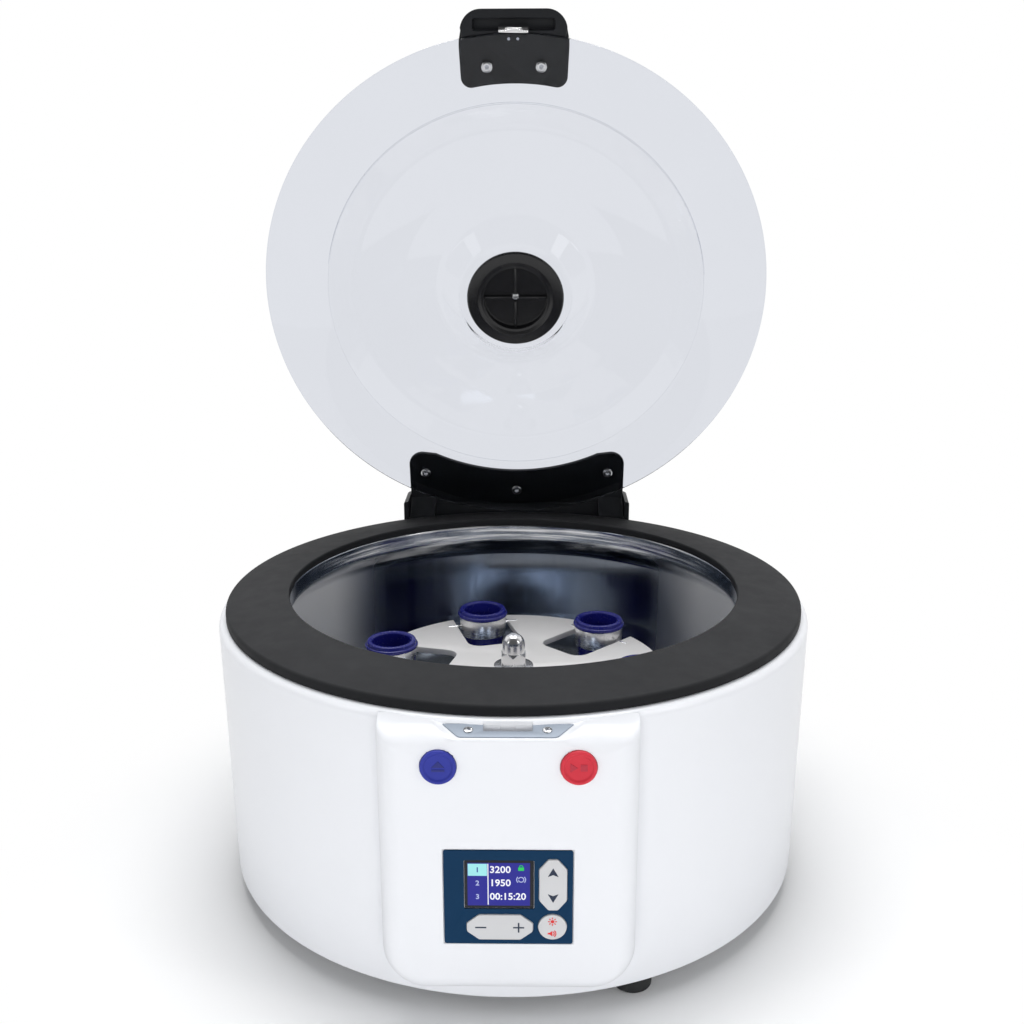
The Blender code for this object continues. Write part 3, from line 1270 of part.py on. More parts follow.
def lid_port():
    """Black cup under the lid's middle, the cap above it and the screw that holds them together."""
    flange_high = PORT_SEAT - GAP
    flange_low = flange_high - PORT_FLANGE_THICKNESS
    recess_top = flange_low + PORT_RECESS_DEPTH
    tube_radius = PORT_HOLE_RADIUS - GAP
    tube_top = recess_top + PORT_FLOOR
    shank = SCREW_SHANK_RADIUS + GAP
    cup_profile = rounded(
        [
            (shank, tube_top),
            (tube_radius, tube_top),
            (tube_radius, flange_high),
            (PORT_FLANGE_RADIUS, flange_high),
            (PORT_FLANGE_RADIUS, flange_low),
            (PORT_RECESS_RADIUS, flange_low),
            (PORT_RECESS_RADIUS, recess_top),
            (shank, recess_top),
        ],
        [0, 0, 0, 0, PORT_FLANGE_EDGE, 0, 0, 0],
        1,
    )
    cup = turned("lid_port_cup", cup_profile, BLACK_PLASTIC, closed=True, steps=MEDIUM_STEPS)
    rib_low = recess_top - PORT_RIB_HEIGHT
    rib_start = PORT_SCREW_HEAD_RADIUS + GAP
    rib_end = (PORT_RECESS_RADIUS + tube_radius) / 2
    ribs = []
    for quarter in range(4):
        turn = Matrix.Rotation(quarter * math.pi / 2, 4, "Z")
        rib = rectangle(rib_start, rib_end, -PORT_RIB_WIDTH / 2, PORT_RIB_WIDTH / 2)
        ribs.append(slab("port_rib", [rib], rib_low, recess_top + PORT_FLOOR / 2, turn, None, CUTTERS))
    join(cup, *ribs)
    cap_low = PORT_SEAT + LID_THICKNESS + GAP
    cap_high = cap_low + CAP_HEIGHT
    pocket_top = tube_top + GAP
    pocket_radius = tube_radius + GAP
    thread_top = pocket_top + PORT_SCREW_REACH + GAP
    cap_profile = rounded(
        [
            (0, cap_high),
            (CAP_RADIUS, cap_high),
            (CAP_RADIUS, cap_low),
            (pocket_radius, cap_low),
            (pocket_radius, pocket_top),
            (shank, pocket_top),
            (shank, thread_top),
            (0, thread_top),
        ],
        [0, CAP_EDGE, 0, 0, 0, 0, 0, 0],
        2,
    )
    cap = turned("lid_port_cap", cap_profile, BLACK_PLASTIC, steps=MEDIUM_STEPS)
    head_high = recess_top - GAP
    screw_profile = [
        (0, pocket_top + PORT_SCREW_REACH),
        (SCREW_SHANK_RADIUS, pocket_top + PORT_SCREW_REACH),
        (SCREW_SHANK_RADIUS, head_high),
        (PORT_SCREW_HEAD_RADIUS, head_high),
        (PORT_SCREW_HEAD_RADIUS, head_high - PORT_SCREW_HEAD_HEIGHT),
        (0, head_high - PORT_SCREW_HEAD_HEIGHT),
    ]
    screw = turned("lid_port_screw", screw_profile, POLISHED_STEEL, steps=SMALL_STEPS)
    return [cup, cap, screw]


def concave_edge(radius, half_width, steps=8):
    """Points along a circle about the lid's centre, from left to right, on its far side."""
    reach = math.asin(half_width / radius)
    return [(radius * math.sin(a), radius * math.cos(a)) for a in np.linspace(-reach, reach, steps)]


def latch():
    """Black latch housing on the lid's front edge, with the striker that hangs from its nose."""
    right_side = rounded(
        [
            (LATCH_ARC_HALF_WIDTH, -LATCH_REAR_Y),
            (LATCH_REAR_HALF_WIDTH, -LATCH_REAR_Y),
            (LATCH_HALF_WIDTH, -LATCH_WIDEST_Y),
            (LATCH_FRONT_HALF_WIDTH, -LATCH_REACH),
            (0, -LATCH_REACH),
        ],
        [0, LATCH_REAR_ROUNDING, LATCH_SIDE_ROUNDING, LATCH_FRONT_ROUNDING, 0],
    )[1:-1]
    arc = [(x, -y) for x, y in concave_edge(LATCH_ARC_RADIUS, LATCH_ARC_HALF_WIDTH)]
    outline = arc + right_side + [(-x, y) for x, y in reversed(right_side)]
    top = LID_TOP + GAP + LATCH_HEIGHT
    body = slab("latch_housing", [outline], LATCH_NOSE_BOTTOM, top, PLAN, BLACK_PLASTIC)
    bevel(body, LATCH_EDGE)
    room = rod(
        "lid_room",
        GASKET_OUTER_RADIUS + LATCH_RING_GAP,
        (0, 0, LATCH_NOSE_BOTTOM - CUT_OVERRUN),
        (0, 0, LID_TOP + GAP),
        steps=ROUND_STEPS * 2,
        collection=CUTTERS,
    )
    recess_top = LATCH_NOSE_BOTTOM + LATCH_RECESS_DEPTH
    recess = box(
        "latch_recess",
        (-LATCH_RECESS_HALF_WIDTH, -LATCH_RECESS_FRONT, LATCH_NOSE_BOTTOM - CUT_OVERRUN),
        (LATCH_RECESS_HALF_WIDTH, -LATCH_RECESS_BACK, recess_top),
        collection=CUTTERS,
    )
    screw_top = LID_TOP + GAP + SCREW_BITE + GAP
    holes = [screw_hole(side * LATCH_SCREW_X, -LATCH_SCREW_Y, LID_TOP - CUT_OVERRUN, screw_top) for side in (-1, 1)]
    cut(body, room, recess, *holes)
    striker_outline = rectangle(-STRIKER_HALF_WIDTH, STRIKER_HALF_WIDTH, STRIKER_BOTTOM, recess_top - GAP, STRIKER_ROUNDING)
    window = rectangle(
        -STRIKER_WINDOW_HALF_WIDTH, STRIKER_WINDOW_HALF_WIDTH, STRIKER_WINDOW_LOW, STRIKER_WINDOW_HIGH, STRIKER_ROUNDING / 2
    )
    half = STRIKER_THICKNESS / 2
    striker = slab("latch_striker", [striker_outline, window], STRIKER_Y - half, STRIKER_Y + half, FRONT_VIEW, POLISHED_STEEL)
    screws = [
        lid_screw("latch_screw_left", -LATCH_SCREW_X, -LATCH_SCREW_Y),
        lid_screw("latch_screw_right", LATCH_SCREW_X, -LATCH_SCREW_Y),
    ]
    return [body, striker, *screws]


def lid_bracket():
    """Black bracket over the lid's back edge, with two arms down to barrels on the hinge pins."""
    low = LID_TOP + GAP
    high = low + BRACKET_THICKNESS
    right_side = rounded(
        [
            (BRACKET_ARC_HALF_WIDTH, BRACKET_FRONT_Y),
            (BRACKET_HALF_WIDTH, BRACKET_FRONT_Y),
            (BRACKET_HALF_WIDTH, BRACKET_REAR_Y),
            (0, BRACKET_REAR_Y),
        ],
        [0, BRACKET_LOBE_ROUNDING, BRACKET_REAR_ROUNDING, 0],
    )[1:-1]
    arc = concave_edge(BRACKET_ARC_RADIUS, BRACKET_ARC_HALF_WIDTH, 12)
    outline = arc + right_side + [(-x, y) for x, y in reversed(right_side)]
    bracket = slab("hinge_lid_bracket", [outline], low, high, PLAN, BLACK_PLASTIC)
    barrel_arc = [
        (HINGE_Y - BARREL_RADIUS * math.cos(a), HINGE_Z - BARREL_RADIUS * math.sin(a))
        for a in np.linspace(0, math.pi, 9)
    ]
    arm_top = rounded(
        [
            (HINGE_Y + BARREL_RADIUS, HINGE_Z),
            (HINGE_Y + BARREL_RADIUS, high),
            (ARM_FRONT_Y, high),
            (ARM_FRONT_Y, low + SMALL_EDGE),
            (ARM_BEND_Y, low),
        ],
        [0, ARM_ROUNDING, 0, 0, 0],
    )[1:]
    arms = []
    for side in (-1, 1):
        ends = sorted((side * ARM_INNER_X, side * ARM_OUTER_X))
        arms.append(slab("hinge_arm", [barrel_arc + arm_top], *ends, SIDE_VIEW, None, CUTTERS))
    join(bracket, *arms)
    screw_top = low + SCREW_BITE + GAP
    holes = [screw_hole(x, y, low - CUT_OVERRUN, screw_top) for x, y in lid_screw_places()[:3]]
    bores = [hinge_bore(side) for side in (-1, 1)]
    cut(bracket, *holes, *bores)
    names = ("hinge_screw_left", "hinge_screw_right", "hinge_screw_middle")
    screws = [lid_screw(name, x, y) for name, (x, y) in zip(names, lid_screw_places())]
    return [bracket, *screws]


def hinge_bore(side):
    """The running hole for a hinge pin."""
    radius = HINGE_PIN_RADIUS + RUNNING_GAP
    start = (side * (ARM_INNER_X - CUT_OVERRUN), HINGE_Y, HINGE_Z)
    end = (side * (BLOCK_HALF_WIDTH + CUT_OVERRUN), HINGE_Y, HINGE_Z)
    return rod("hinge_bore", radius, start, end, collection=CUTTERS)


def hinge_block():
    """Black block on the housing's back, hollow on top for the lid bracket, with a pin in each cheek."""
    root = PANEL_ROOT - CUT_OVERRUN
    plan = rounded(
        [
            (-BLOCK_HALF_WIDTH, root),
            (BLOCK_HALF_WIDTH, root),
            (BLOCK_HALF_WIDTH, BLOCK_REAR_Y),
            (-BLOCK_HALF_WIDTH, BLOCK_REAR_Y),
        ],
        [0, 0, BLOCK_ROUNDING, BLOCK_ROUNDING],
    )
    side = rounded(
        [
            (root, BLOCK_BOTTOM),
            (BLOCK_REAR_Y - BLOCK_FOOT_SLOPE, BLOCK_BOTTOM),
            (BLOCK_REAR_Y, BLOCK_BOTTOM + BLOCK_FOOT_SLOPE),
            (BLOCK_REAR_Y, BLOCK_TOP),
            (root, BLOCK_TOP),
        ],
        [0, 0, BLOCK_ROUNDING, BLOCK_TOP_ROUNDING / 2, BLOCK_TOP_ROUNDING],
    )
    block = slab("hinge_base_block", [plan], BLOCK_BOTTOM - CUT_OVERRUN, BLOCK_TOP + CUT_OVERRUN, PLAN, BLACK_PLASTIC)
    side_slab = slab("block_side", [side], -BLOCK_HALF_WIDTH - CUT_OVERRUN, BLOCK_HALF_WIDTH + CUT_OVERRUN, SIDE_VIEW, None, CUTTERS)
    common(block, side_slab)
    body_room = rod(
        "body_room",
        BODY_TOP_RADIUS + BARREL_HOUSING_GAP,
        (0, 0, BLOCK_BOTTOM - CUT_OVERRUN),
        (0, 0, BLOCK_TOP + CUT_OVERRUN),
        steps=ROUND_STEPS * 2,
        collection=CUTTERS,
    )
    pocket = box(
        "bracket_pocket",
        (-BRACKET_HALF_WIDTH - GAP, root - CUT_OVERRUN, POCKET_FLOOR),
        (BRACKET_HALF_WIDTH + GAP, BLOCK_REAR_Y - BLOCK_WALL, BLOCK_TOP + CUT_OVERRUN),
        collection=CUTTERS,
    )
    cut(block, body_room, pocket, *[hinge_bore(side) for side in (-1, 1)])
    for side, name in ((-1, "hinge_pin_left"), (1, "hinge_pin_right")):
        start = (side * (ARM_INNER_X + HINGE_PIN_HEAD), HINGE_Y, HINGE_Z)
        end = (side * (BLOCK_HALF_WIDTH - HINGE_PIN_HEAD), HINGE_Y, HINGE_Z)
        rod(name, HINGE_PIN_RADIUS, start, end, POLISHED_STEEL)


def lock():
    """Solenoid under the ledge, its plunger, and the pawl that it pushes through the striker's window."""
    top = PANEL_LEDGE_HIGH - PANEL_LEDGE_WALL - GAP
    coil = box(
        "lock_solenoid", (-SOLENOID_HALF_WIDTH, -SOLENOID_FRONT, SOLENOID_BOTTOM), (SOLENOID_HALF_WIDTH, -SOLENOID_BACK, top), COPPER_COIL
    )
    bore = rod(
        "solenoid_bore",
        PLUNGER_RADIUS + RUNNING_GAP,
        (0, -PLUNGER_BACK + GAP, PAWL_Z),
        (0, -SOLENOID_FRONT - CUT_OVERRUN, PAWL_Z),
        collection=CUTTERS,
    )
    cut(coil, bore)
    rod("solenoid_plunger", PLUNGER_RADIUS, (0, -PLUNGER_BACK, PAWL_Z), (0, -PAWL_BACK + GAP, PAWL_Z), POLISHED_STEEL)
    low = (-PAWL_HALF_WIDTH, -PAWL_TIP, PAWL_Z - PAWL_HEIGHT / 2)
    high = (PAWL_HALF_WIDTH, -PAWL_BACK, PAWL_Z + PAWL_HEIGHT / 2)
    bevel(box("lock_pawl", low, high, POLISHED_STEEL), PAWL_EDGE, 1)


def buttons():
    """Two round push buttons with dished faces and a flange behind the panel's wall."""
    back = BUTTON_PROUD - BUTTON_DEPTH
    flange_high = -BODY_WALL - GAP
    profile = rounded(
        [
            (0, BUTTON_PROUD - BUTTON_DISH_DEPTH),
            (BUTTON_DISH_RADIUS, BUTTON_PROUD),
            (BUTTON_RADIUS, BUTTON_PROUD),
            (BUTTON_RADIUS, flange_high),
            (BUTTON_RADIUS + BUTTON_FLANGE, flange_high),
            (BUTTON_RADIUS + BUTTON_FLANGE, flange_high - BUTTON_FLANGE_THICKNESS),
            (BUTTON_RADIUS, flange_high - BUTTON_FLANGE_THICKNESS),
            (BUTTON_RADIUS, back),
            (0, back),
        ],
        [0, 0, BUTTON_EDGE, 0, 0, 0, 0, 0, 0],
        2,
    )
    for name, side, finish_material in (("open_button", -1, BLUE_BUTTON), ("start_stop_button", 1, RED_BUTTON)):
        button = turned(name, profile, finish_material, steps=MEDIUM_STEPS)
        place = Matrix.Translation((side * BUTTON_X, -PANEL_FACE, BUTTON_Z))
        button.matrix_world = place @ Matrix.Rotation(math.pi / 2, 4, "X")


def keypad():
    """Navy keypad plate with its window and three keys."""
    plate = rectangle(-KEYPAD_HALF_WIDTH, KEYPAD_HALF_WIDTH, KEYPAD_BOTTOM, KEYPAD_TOP, KEYPAD_ROUNDING)
    openings = [window_outline(GAP), *key_outlines(GAP).values()]
    slab("keypad_overlay", [plate, *openings], PANEL_FACE - KEYPAD_THICKNESS, PANEL_FACE, FRONT_VIEW, NAVY_FILM)
    slab("display_window", [window_outline(0)], PANEL_FACE - WINDOW_DEPTH, PANEL_FACE, FRONT_VIEW, DISPLAY_GLASS)
    centres = {
        "up_down_key": (UP_DOWN_X, UP_DOWN_Z),
        "minus_plus_key": (MINUS_PLUS_X, MINUS_PLUS_Z),
        "settings_key": (SETTINGS_X, SETTINGS_Z),
    }
    for name, outline in key_outlines(0).items():
        x, z = centres[name]
        local = [(u - x, v - z) for u, v in outline]
        key = slab(name, [local], KEY_PROUD - KEY_DEPTH, KEY_PROUD, FRONT_VIEW, GREY_KEY)
        key.location = (x, -PANEL_FACE, z)


def control_board():
    """Circuit board on the panel's posts, with arms behind the buttons and the screen behind the window."""
    outline = [
        (-BOARD_HALF_WIDTH, BOARD_BOTTOM),
        (BOARD_HALF_WIDTH, BOARD_BOTTOM),
        (BOARD_HALF_WIDTH, BOARD_SHOULDER),
        (BOARD_ARM_OUTER, BOARD_SHOULDER),
        (BOARD_ARM_OUTER, BOARD_TOP),
        (BOARD_ARM_INNER, BOARD_TOP),
        (BOARD_ARM_INNER, BOARD_SHOULDER),
        (-BOARD_ARM_INNER, BOARD_SHOULDER),
        (-BOARD_ARM_INNER, BOARD_TOP),
        (-BOARD_ARM_OUTER, BOARD_TOP),
        (-BOARD_ARM_OUTER, BOARD_SHOULDER),
        (-BOARD_HALF_WIDTH, BOARD_SHOULDER),
    ]
    board = slab("control_board", [outline], BOARD_FRONT - BOARD_THICKNESS, BOARD_FRONT, FRONT_VIEW, GREEN_BOARD)
    screen = rectangle(
        WINDOW_X - BOARD_SCREEN_HALF_WIDTH,
        WINDOW_X + BOARD_SCREEN_HALF_WIDTH,
        WINDOW_Z - BOARD_SCREEN_HALF_HEIGHT,
        WINDOW_Z + BOARD_SCREEN_HALF_HEIGHT,
    )
    screen_front = PANEL_FACE - WINDOW_DEPTH - BOARD_SCREEN_SETBACK
    join(board, slab("screen", [screen], BOARD_FRONT - BOARD_THICKNESS / 2, screen_front, FRONT_VIEW, None, CUTTERS))


def inlet_opening():
    """The hole in the rear pad that the inlet's body passes."""
    half_width = INLET_HALF_WIDTH - INLET_BODY_MARGIN + GAP
    half_height = INLET_HALF_HEIGHT - INLET_BODY_MARGIN + GAP
    return box(
        "inlet_opening",
        (-half_width, PAD_ROOT, INLET_Z - half_height),
        (half_width, PAD_FACE + CUT_OVERRUN, INLET_Z + half_height),
        collection=CUTTERS,
    )


def power_inlet():
    """Mains inlet with its socket, three pins and a rocker switch beside it."""
    flange = rectangle(-INLET_HALF_WIDTH, INLET_HALF_WIDTH, INLET_Z - INLET_HALF_HEIGHT, INLET_Z + INLET_HALF_HEIGHT, INLET_ROUNDING)
    face = PAD_FACE + GAP + INLET_FLANGE
    inlet = slab("power_inlet", [flange], PAD_FACE + GAP, face, BACK_VIEW, BLACK_PLASTIC)
    body = box(
        "inlet_body",
        (-INLET_HALF_WIDTH + INLET_BODY_MARGIN, face - INLET_BODY_DEPTH, INLET_Z - INLET_HALF_HEIGHT + INLET_BODY_MARGIN),
        (INLET_HALF_WIDTH - INLET_BODY_MARGIN, face - INLET_FLANGE / 2, INLET_Z + INLET_HALF_HEIGHT - INLET_BODY_MARGIN),
        collection=CUTTERS,
    )
    left, right = SOCKET_X - SOCKET_HALF_WIDTH, SOCKET_X + SOCKET_HALF_WIDTH
    low, high = INLET_Z - SOCKET_HALF_HEIGHT, INLET_Z + SOCKET_HALF_HEIGHT
    shape = [(left, low), (right, low), (right, high - SOCKET_CORNER), (right - SOCKET_CORNER, high)]
    shape += [(left + SOCKET_CORNER, high), (left, high - SOCKET_CORNER)]
    socket = slab("socket", [shape], face - SOCKET_DEPTH, face + CUT_OVERRUN, BACK_VIEW, None, CUTTERS)
    switch_hole = box(
        "switch_hole",
        (SWITCH_X - SWITCH_HALF_WIDTH - GAP, face - SWITCH_DEPTH, INLET_Z - SWITCH_HALF_HEIGHT - SWITCH_SIDE_GAP),
        (SWITCH_X + SWITCH_HALF_WIDTH + GAP, face + CUT_OVERRUN, INLET_Z + SWITCH_HALF_HEIGHT + SWITCH_SIDE_GAP),
        collection=CUTTERS,
    )
    join(inlet, body)
    cut(inlet, socket, switch_hole)
    pins = []
    for step, raised in ((-1, 0), (0, 1), (1, 0)):
        x, z = SOCKET_X + step * PIN_SPACING, INLET_Z + raised * PIN_RAISE
        pin_low = (x - PIN_HALF_WIDTH, face - SOCKET_DEPTH - BODY_WALL / 2, z - PIN_HALF_HEIGHT)
        pin_high = (x + PIN_HALF_WIDTH, face - SOCKET_DEPTH + PIN_LENGTH, z + PIN_HALF_HEIGHT)
        pins.append(box("inlet_pin", pin_low, pin_high, collection=CUTTERS))
    join(inlet, *pins)
    rocker()


def rocker():
    """Rocker with two faces that slope away from its ridge, on a pivot inside the inlet."""
    face = PAD_FACE + GAP + INLET_FLANGE
    tip = SWITCH_PROUD + SWITCH_PIVOT_DEPTH
    waist = tip - SWITCH_HALF_HEIGHT * math.tan(SWITCH_TILT)
    outline = [
        (-SWITCH_BODY_DEPTH + SWITCH_PIVOT_DEPTH, -SWITCH_HALF_HEIGHT / 2),
        (0, -SWITCH_HALF_HEIGHT),
        (tip, -SWITCH_HALF_HEIGHT),
        (waist, 0),
        (tip, SWITCH_HALF_HEIGHT),
        (0, SWITCH_HALF_HEIGHT),
        (-SWITCH_BODY_DEPTH + SWITCH_PIVOT_DEPTH, SWITCH_HALF_HEIGHT / 2),
    ]
    switch = slab("power_switch", [outline], -SWITCH_HALF_WIDTH, SWITCH_HALF_WIDTH, SIDE_VIEW, BLACK_PLASTIC)
    switch.location = (SWITCH_X, face - SWITCH_PIVOT_DEPTH, INLET_Z)
    switch.rotation_euler = (SWITCH_TILT, 0, 0)


housing()
base()
gasket()
bowl()
motor()
rotor()
buckets()
hinge_block()
lock_plate()
lock()
buttons()
keypad()
control_board()
power_inlet()
lid()
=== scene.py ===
"""Looks of the benchtop centrifuge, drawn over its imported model.

Metres, +Z up, origin on the bench under the rotor's axis, control panel towards -Y.
Lid pieces are worked out with the lid closed and then turned open about the hinge.
"""

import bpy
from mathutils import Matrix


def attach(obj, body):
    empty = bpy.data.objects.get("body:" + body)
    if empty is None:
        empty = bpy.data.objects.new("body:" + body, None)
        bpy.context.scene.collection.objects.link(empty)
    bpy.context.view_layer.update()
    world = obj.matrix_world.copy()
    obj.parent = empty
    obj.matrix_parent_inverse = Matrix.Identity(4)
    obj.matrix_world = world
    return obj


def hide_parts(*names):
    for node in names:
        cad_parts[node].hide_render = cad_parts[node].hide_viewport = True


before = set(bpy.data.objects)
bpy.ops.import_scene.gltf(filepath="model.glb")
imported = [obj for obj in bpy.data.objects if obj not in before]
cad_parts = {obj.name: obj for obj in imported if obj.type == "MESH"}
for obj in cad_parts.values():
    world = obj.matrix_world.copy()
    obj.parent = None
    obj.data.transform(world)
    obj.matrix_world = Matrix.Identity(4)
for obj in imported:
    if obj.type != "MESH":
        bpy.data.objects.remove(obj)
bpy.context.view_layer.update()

import math

import bmesh
import bpy
import numpy as np
from mathutils import Matrix, Vector

# Sizes of the housing, as in the model
BODY_TOP_RADIUS = 0.2255
BODY_BOTTOM_RADIUS = 0.2224
BODY_BOTTOM = 0.0140
BODY_WALL = 0.0030
DECK_TOP = 0.2131
DECK_INNER_RADIUS = 0.1930
SHOULDER_RADIUS = 0.0062
PANEL_FACE = 0.2380
PANEL_HALF_WIDTH = 0.0810
PANEL_BOTTOM = 0.0275
PANEL_ROUNDING = 0.0140
PANEL_CORNER = 0.0300
PANEL_ROOT = 0.1980
LEDGE_BACK = 0.2215
LEDGE_HIGH = 0.2100
LEDGE_LOW = 0.2070
LEDGE_ROUNDING = 0.0020
LEDGE_SLOPE = math.atan2(LEDGE_HIGH - LEDGE_LOW, PANEL_FACE - LEDGE_BACK)
SCOOP_INNER = 0.0310
SCOOP_LOW = 0.1955
SCOOP_HIGH = 0.2050
SCOOP_MIDDLE = 0.0550
SCOOP_TOP = 0.2110

# Ring, bowl and rotor
GASKET_INNER_RADIUS = 0.1725
GASKET_OUTER_RADIUS = 0.2200
GASKET_INNER_TOP = 0.2266
GASKET_OUTER_TOP = 0.2205
GASKET_LIP = 0.0060
BOWL_RADIUS = 0.1900
BOWL_STEEL = 0.0012
PLATE_TOP = 0.1530
PLATE_THICKNESS = 0.0050
PLATE_RADIUS = 0.1200
HUB_RADIUS = 0.0220
SLOT_HALF_WIDTH = 0.0230
SLOT_INNER_END = 0.0520
SLOT_CORNER = 0.0110
BUCKET_COUNT = 6
BUCKET_FIRST_ANGLE = math.radians(46)
BUCKET_CIRCLE_RADIUS = 0.1030
CUP_BORE_RADIUS = 0.0155
CUP_OUTER_RADIUS = 0.0177
COLLAR_RADIUS = 0.0200
RIM_RADIUS = 0.0215

# Lid and hinge
LID_OPEN_ANGLE = math.radians(75)
LID_PLANE = 0.2271
LID_THICKNESS = 0.0035
LID_TOP = LID_PLANE + LID_THICKNESS
LID_RADIUS = 0.2180
HINGE_Y = 0.2186
HINGE_Z = 0.2134
BARREL_RADIUS = 0.0065
PORT_SEAT = LID_PLANE - 0.0030

# Panel controls
BUTTON_X = 0.0422
BUTTON_Z = 0.1889
BUTTON_RADIUS = 0.0112
BUTTON_PROUD = 0.0022
KEYPAD_HALF_WIDTH = 0.0403
KEYPAD_BOTTOM = 0.0660
KEYPAD_TOP = 0.1320
WINDOW_X = -0.0057
WINDOW_Z = 0.1080
WINDOW_HALF_WIDTH = 0.0216
WINDOW_HALF_HEIGHT = 0.0168
KEY_PROUD = 0.0008
PAWL_HALF_WIDTH = 0.0040
GAP = 0.0003
FINE = 192
BUTTON_MIDDLES = (-BUTTON_X, BUTTON_X + 0.0008)

LID_OPEN = (
    Matrix.Translation((0, HINGE_Y, HINGE_Z))
    @ Matrix.Rotation(-LID_OPEN_ANGLE, 4, "X")
    @ Matrix.Translation((0, -HINGE_Y, -HINGE_Z))
)
FRONT_VIEW = Matrix(((1, 0, 0, 0), (0, 0, -1, 0), (0, 1, 0, 0), (0, 0, 0, 1)))
SIDE_VIEW = Matrix(((0, 0, 1, 0), (1, 0, 0, 0), (0, 1, 0, 0), (0, 0, 0, 1)))
BACK_VIEW = Matrix(((-1, 0, 0, 0), (0, 0, 1, 0), (0, 1, 0, 0), (0, 0, 0, 1)))
LEDGE_VIEW = Matrix.Translation((0, -LEDGE_BACK, LEDGE_HIGH)) @ Matrix.Rotation(LEDGE_SLOPE, 4, "X")
STILL = Matrix.Identity(4)


# Mesh helpers


def add_piece(name, mesh, finish, body, stands_for=(), crease=40):
    """Put a finished mesh in the scene, on the body that carries it."""
    mesh.shade_smooth()
    mesh.set_sharp_from_angle(angle=math.radians(crease))
    mesh.materials.clear()
    mesh.materials.append(finish)
    piece = bpy.data.objects.new(name, mesh)
    bpy.context.scene.collection.objects.link(piece)
    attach(piece, body)
    if stands_for:
        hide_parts(*stands_for)
    return piece


def join_up(name, points, faces, place=STILL, caps=(), open_sheet=False):
    """A mesh of points and faces, with doubles merged and its faces turned outwards."""
    mesh = bpy.data.meshes.new(name)
    mesh.from_pydata(points.reshape(-1, 3).tolist(), [], faces.tolist() + [list(cap) for cap in caps])
    bm = bmesh.new()
    bm.from_mesh(mesh)
    bmesh.ops.transform(bm, matrix=place, verts=bm.verts)
    bmesh.ops.remove_doubles(bm, verts=bm.verts, dist=1e-7)
    bmesh.ops.dissolve_degenerate(bm, edges=bm.edges, dist=1e-7)
    if not open_sheet:
        bmesh.ops.recalc_face_normals(bm, faces=bm.faces)
    bm.to_mesh(mesh)
    bm.free()
    return mesh


def grid_mesh(name, grid, around=False, along=False, place=STILL, caps=False, open_sheet=False, without=None):
    """Quads over a grid of points; a closed direction wraps, and caps close the first and last row."""
    rows, columns = grid.shape[:2]
    index = np.arange(rows * columns).reshape(rows, columns)
    first, last = index[0], index[-1]
    if around:
        index = np.hstack([index, index[:, :1]])
    if along:
        index = np.vstack([index, index[:1]])
    quads = np.stack([index[:-1, :-1], index[:-1, 1:], index[1:, 1:], index[1:, :-1]], -1).reshape(-1, 4)
    if without is not None:
        quads = quads[~without.ravel()]
    ends = (first[::-1], last) if caps else ()
    return join_up(name, grid, quads, place, ends, open_sheet)


def merged(name, meshes):
    """One mesh of several."""
    bm = bmesh.new()
    for mesh in meshes:
        bm.from_mesh(mesh)
    whole = bpy.data.meshes.new(name)
    bm.to_mesh(whole)
    bm.free()
    for mesh in meshes:
        bpy.data.meshes.remove(mesh)
    return whole


def carved(mesh, cutters, operation="DIFFERENCE"):
    """The mesh after Boolean steps with closed meshes, which are used up."""
    body = bpy.data.objects.new("carving", mesh)
    bpy.context.scene.collection.objects.link(body)
    helpers = []
    for cutter in cutters:
        helper = bpy.data.objects.new("cutter", cutter)
        bpy.context.scene.collection.objects.link(helper)
        helpers.append(helper)
        step = body.modifiers.new("carve", "BOOLEAN")
        step.operation = operation
        step.solver = "EXACT"
        step.object = helper
    graph = bpy.context.evaluated_depsgraph_get()
    result = bpy.data.meshes.new_from_object(body.evaluated_get(graph))
    for used in [body, *helpers]:
        bpy.data.objects.remove(used)
    return result


# Outlines and profiles


def rounded(points, radii, steps=6):
    """An outline whose corners are arcs: each arc touches both sides at radius over tan of half the turn."""
    points = np.asarray(points, float)
    count = len(points)
    outline = []
    for i, radius in enumerate(radii):
        corner, before, after = points[i], points[i - 1] - points[i], points[(i + 1) % count] - points[i]
        reach_before, reach_after = np.linalg.norm(before), np.linalg.norm(after)
        if radius <= 0 or min(reach_before, reach_after) < 1e-9:
            outline.append(corner[None])
            continue
        u, v = before / reach_before, after / reach_after
        half = math.acos(np.clip(u @ v, -1, 1)) / 2
        if half > math.pi / 2 - 0.01:
            outline.append(corner[None])
            continue
        reach = min(radius / math.tan(half), reach_before / 2, reach_after / 2)
        fitted = reach * math.tan(half)
        middle = corner + (u + v) / np.linalg.norm(u + v) * fitted / math.sin(half)
        start, end = corner + u * reach - middle, corner + v * reach - middle
        sweep = math.atan2(start[0] * end[1] - start[1] * end[0], start @ end)
        turn = np.linspace(0, sweep, steps + 1)
        outline.append(
            middle
            + np.stack(
                [
                    start[0] * np.cos(turn) - start[1] * np.sin(turn),
                    start[0] * np.sin(turn) + start[1] * np.cos(turn),
                ],
                -1,
            )
        )
    return np.concatenate(outline)


def rectangle(left, right, bottom, top, radius, steps=6):
    """A rectangle's outline with round corners."""
    return rounded([(left, bottom), (right, bottom), (right, top), (left, top)], [radius] * 4, steps)


def circle(x, y, radius, steps=64):
    """Points round a circle."""
    angle = np.linspace(0, 2 * math.pi, steps, endpoint=False)
    return np.stack([x + radius * np.cos(angle), y + radius * np.sin(angle)], -1)


def mirrored(right_side):
    """A closed outline from its right-hand half, by changing the sign of x."""
    right_side = np.asarray(right_side, float)
    return np.concatenate([right_side, right_side[::-1] * (-1, 1)])


